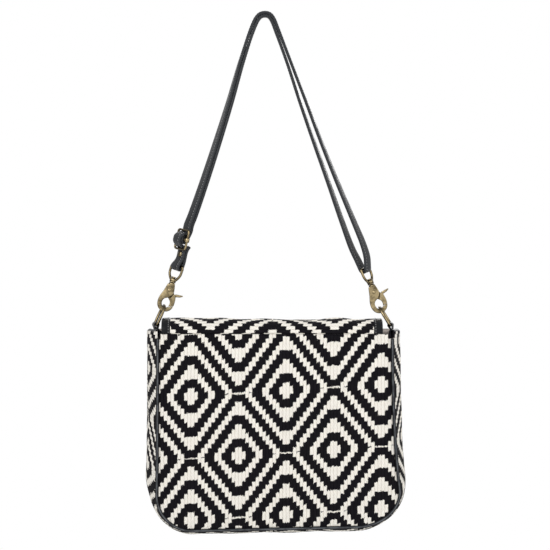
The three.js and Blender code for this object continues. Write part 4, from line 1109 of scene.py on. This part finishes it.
def eye_point(degrees):
    x, z, rx, rz = EYE
    return Vector((x + rx * math.cos(math.radians(degrees)), z + rz * math.sin(math.radians(degrees))))


hook_line = bent([(-3.4, 0), (-4.6, -3), (-5.2, -6), (-6.2, -10)], 6)
hook_line += bent([(-6.2, -10), (-7.4, -14), (-9.2, -17), (-9.2, -22)], 8)
hook_line += bent([(-9.2, -22), (-9.2, -28.5), (-5.2, HOOK_LOW), (-0.4, HOOK_LOW)], 10)
hook_line += bent([(-0.4, HOOK_LOW), (4.4, HOOK_LOW), (8.2, -29.4), (8.95, -24.25)], 9)
hook_line += [Vector((6, -25.75))] + [eye_point(-47 - i * 208 / 26) for i in range(27)]
hook_line += bent([eye_point(-255), (3, -15.6), (4.6, -13), (5.2, -10.6)], 6)
hook_line += bent([(5.2, -10.6), (5.2, -7.5), (4.4, -4), (3.4, 0)], 6)

gate_line = bent([(7.8, -10.9), (8.8, -14.6), (9.3, -18), (9.3, -21.6)], 9)
gate_line += [Vector((9, -24)), Vector((6.3, -25.3))]
gate_line += [eye_point(-36 + i * 95 / 12) for i in range(13)]
gate_line += bent([eye_point(59), (3.6, -16), (5, -13.6), (5.6, -10.9)], 6)
tongue_line = [(-2, -5.6), (2, -6), (7.4, -12.6), (7.8, -15.6), (4.6, -18.4), (2.1, -18), (0.6, -16.6)]
tongue_line += [(-2.8, -10.2)]
slot_line = [(-2.9, -4.7), (2.9, -5.1), (8.3, -11.7), (8.7, -16.5), (4, -19.6), (-3, -19.6), (-4.4, -16)]
slot_line += [(-3.9, -11.1)]
thumb_line = bent([(5.7, -11), (8, -10.4), (12, -10.2), (15.2, -9.8)], 4) + [Vector((16, -10.8))]
thumb_line += bent([(15.4, -12.1), (12, -12.8), (9, -13.6), (6.8, -14.2)], 4) + [Vector((6, -12.4))]


def cast(bm, line, thick, bevel, place):
    """A flat outline made thick to both sides of y = 0, its edges well rounded."""
    piece = bmesh.new()
    verts = [piece.verts.new((x * MM, -thick / 2 * MM, z * MM)) for x, z in line]
    face = piece.faces.new(verts)
    raised = bmesh.ops.extrude_face_region(piece, geom=[face])["geom"]
    moved = [v for v in raised if isinstance(v, bmesh.types.BMVert)]
    bmesh.ops.translate(piece, vec=(0, thick * MM, 0), verts=moved)
    face_out(piece)
    rims = [e for e in piece.edges if abs(e.verts[0].co.y - e.verts[1].co.y) < 1e-7]
    bmesh.ops.bevel(
        piece, geom=rims, offset=bevel * MM, segments=4, profile=0.5, affect="EDGES", material=-1,
        clamp_overlap=True,
    )
    add_piece(bm, piece, place)


def slotted(bm, cutter_bm):
    """The first shape with the second taken out of it."""
    made = []
    for shape in (bm, cutter_bm):
        mesh = bpy.data.meshes.new("casting")
        shape.to_mesh(mesh)
        made.append(add_object("casting", mesh))
    cut = made[0].modifiers.new("slot", "BOOLEAN")
    cut.object = made[1]
    cut.operation = "DIFFERENCE"
    cut.solver = "EXACT"
    left = made[0].evaluated_get(bpy.context.evaluated_depsgraph_get())
    bm.clear()
    bm.from_mesh(left.to_mesh())
    left.to_mesh_clear()
    cutter_bm.free()
    for each in made:
        mesh = each.data
        bpy.data.objects.remove(each)
        bpy.data.meshes.remove(mesh)


stud = [(0, 7.1), (STUD_R + 0.6, 7.1), (STUD_R + 1, 6.8), (STUD_R + 1, 5.9), (STUD_R, 5.8)]
stud += [(STUD_R, 0.4), (3, 0.1), (3.3, -0.5), (3.3, -1.6)]
for side, at in clasp_frame.items():
    hook_bm = bmesh.new()
    cast(hook_bm, hook_line, CLASP_THICK, HOOK_ROUND, at)
    slot_bm = bmesh.new()
    cast(slot_bm, slot_line, SLOT_WIDE, 0.01, at)
    slotted(hook_bm, slot_bm)
    lathe(hook_bm, stud, at)
    finish(f"hook_{side}", hook_bm, brass, f"clasp_{side}", "antique_brass", f"clasp_hook_{side}")

    gate_bm = bmesh.new()
    cast(gate_bm, gate_line, CLASP_THICK - 0.2, GATE_ROUND, at)
    cast(gate_bm, tongue_line, TONGUE_THICK, 0.2, at)
    cast(gate_bm, thumb_line, CLASP_THICK - 1, 0.7, at)
    finish(f"gate_{side}", gate_bm, brass, f"gate_{side}", "antique_brass", f"clasp_gate_{side}")

    pin_bm = bmesh.new()
    head = [(0, 0.55), (0.9, 0.5), (1.6, 0.3), (1.9, 0.05), (1.9, -0.1), (0, -0.1)]
    for turn in (90, -90):
        end = at @ Matrix.Translation((PIVOT[0], 0, PIVOT[1])) @ turned("X", turn)
        lathe(pin_bm, [(r, z + CLASP_THICK / 2 + 0.15) for r, z in head], end)
    finish(f"pin_{side}", pin_bm, brass, f"clasp_{side}", "antique_brass", f"clasp_pin_{side}")


# Rings: D-shaped, of round brass wire, their straight sides held in leather tabs that are folded
# over and sewn inside the top of the gusset.
RING_WIRE_R = 1.5
RING_R = 11.5
RING_HEIGHT = 23
RING_LEAN = {"left": 24, "right": -31.5}
TAB_WIDTH = 17
TAB_LEAF = 1.3
TAB_DEEP = 22
TAB_SIDES = 36
turns = [2 * math.pi * i / TAB_SIDES for i in range(TAB_SIDES)]
tab_section = [
    (TAB_WIDTH / 2 * squared(math.cos(t), 0.12), TAB_LEAF / 2 * squared(math.sin(t), 0.6)) for t in turns
]
foot = [(RING_R - 3, 0), (RING_R - 0.9, 0.9), (RING_R, 3)]
ring_points = [Vector((0, y, z)) for y, z in [(0, 0), *foot]]
for i in range(9):
    turn = math.pi * i / 8
    ring_points.append(Vector((0, RING_R * math.cos(turn), RING_HEIGHT - RING_R + RING_R * math.sin(turn))))
ring_points += [Vector((0, -y, z)) for y, z in reversed(foot)]
for side, sign in (("left", -1), ("right", 1)):
    seat = clasp_frame[side] @ Vector((-0.5, 0, EYE[1] - EYE[3] + RING_WIRE_R + 0.6))
    lean = math.radians(RING_LEAN[side])
    bar = seat - Vector((math.sin(lean), 0, math.cos(lean))) * RING_HEIGHT
    wider = FRONT[side][0] - BACK[side][0]
    held = Matrix.Translation(bar) @ Matrix.Rotation(-sign * math.atan(wider / (2 * SEAM_Y)), 4, "Z")
    ring_frame = held @ turned("Y", RING_LEAN[side])
    names = (f"ring_{side}", f"d_ring_{side}")
    tube(f"ring_{side}_wire", ring_points, RING_WIRE_R, ring_frame, *names, loop=True, pieces=6)

    behind = CLOTH + 3.4 * CLEARANCE + BINDING_THICK + 1.1
    aside = sign * (GUSSET_OUT[side] - behind) - (bar.x - BAG_X)
    low = GUSSET_TOP - TAB_DEEP - (bar.z + BAG_DROP)
    loop_r = RING_WIRE_R + CLEARANCE + TAB_LEAF / 2
    leaves = []
    for turn in (-1, 1):
        leaf = [(aside + 0.7 * turn, low), (aside + 0.7 * turn, (low - loop_r) / 2)]
        leaves.append([Vector(p) for p in (*leaf, (aside * 0.6 + 1.2 * turn, -loop_r - 1.6))])
    bends = [math.radians(d) for d in range(200, -21, -20)]
    lines = leaves[0] + [Vector((math.cos(t), math.sin(t))) * loop_r for t in bends] + leaves[1][::-1]
    walk = [eased(lines, i, j / 5) for i in range(len(lines) - 1) for j in range(5)] + [lines[-1]]

    def tab_place(i, y, rise):
        along = heading(walk, i)
        p = walk[i] + Vector((-along.y, along.x)) * rise
        return held @ Vector((p.x, y, p.y)) * MM

    tab_bm = swept(tab_section, len(walk), tab_place)
    finish(f"ring_tab_{side}_leather", tab_bm, hide, "bag", "black_leather", f"ring_tab_{side}")


# Snap: a press stud between the flap and the front, two thin plated discs that are plain under the
# cloth. The nickel is cool and bright, with fine scratches.
nickel, tree, skin = new_material("nickel plate")
place = node(tree, "TexCoord", {})
scratch = node(tree, "TexNoise", {"Vector": place.outputs["Object"], "Scale": 0.8 / MM, "Detail": 4.0})
tone = node(tree, "Mix", {0: scratch, 6: linear("#8f8f8d"), 7: linear("#c2c1bd")}, data_type="RGBA")
gloss = node(tree, "MapRange", {0: scratch, 1: 0.3, 2: 0.7, 3: 0.2, 4: 0.38})
feed(skin, {"Base Color": tone.outputs[2], "Metallic": 1.0, "Roughness": gloss})
for name in ("snap_socket", "snap_stud"):
    low, high = (Vector(corner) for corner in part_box(name))
    middle = (low + high) / 2 / MM
    radius, thick = (high.x - low.x) / 2 / MM, (high.y - low.y) / MM
    half = thick / 2
    disc = [(0, half), (radius - 2.4, half), (radius - 2, half - 0.35), (radius - 1.4, half)]
    disc += [(radius - 0.4, half), (radius, half - 0.4), (radius, 0.4 - half), (radius - 0.4, -half)]
    disc.append((0, -half))
    snap_bm = bmesh.new()
    lathe(snap_bm, disc, Matrix.Translation(middle) @ turned("X", 90), steps=40)
    finish(f"{name}_disc", snap_bm, nickel, "bag", "nickel", name)

bpy.context.scene.view_settings.view_transform = "Standard"
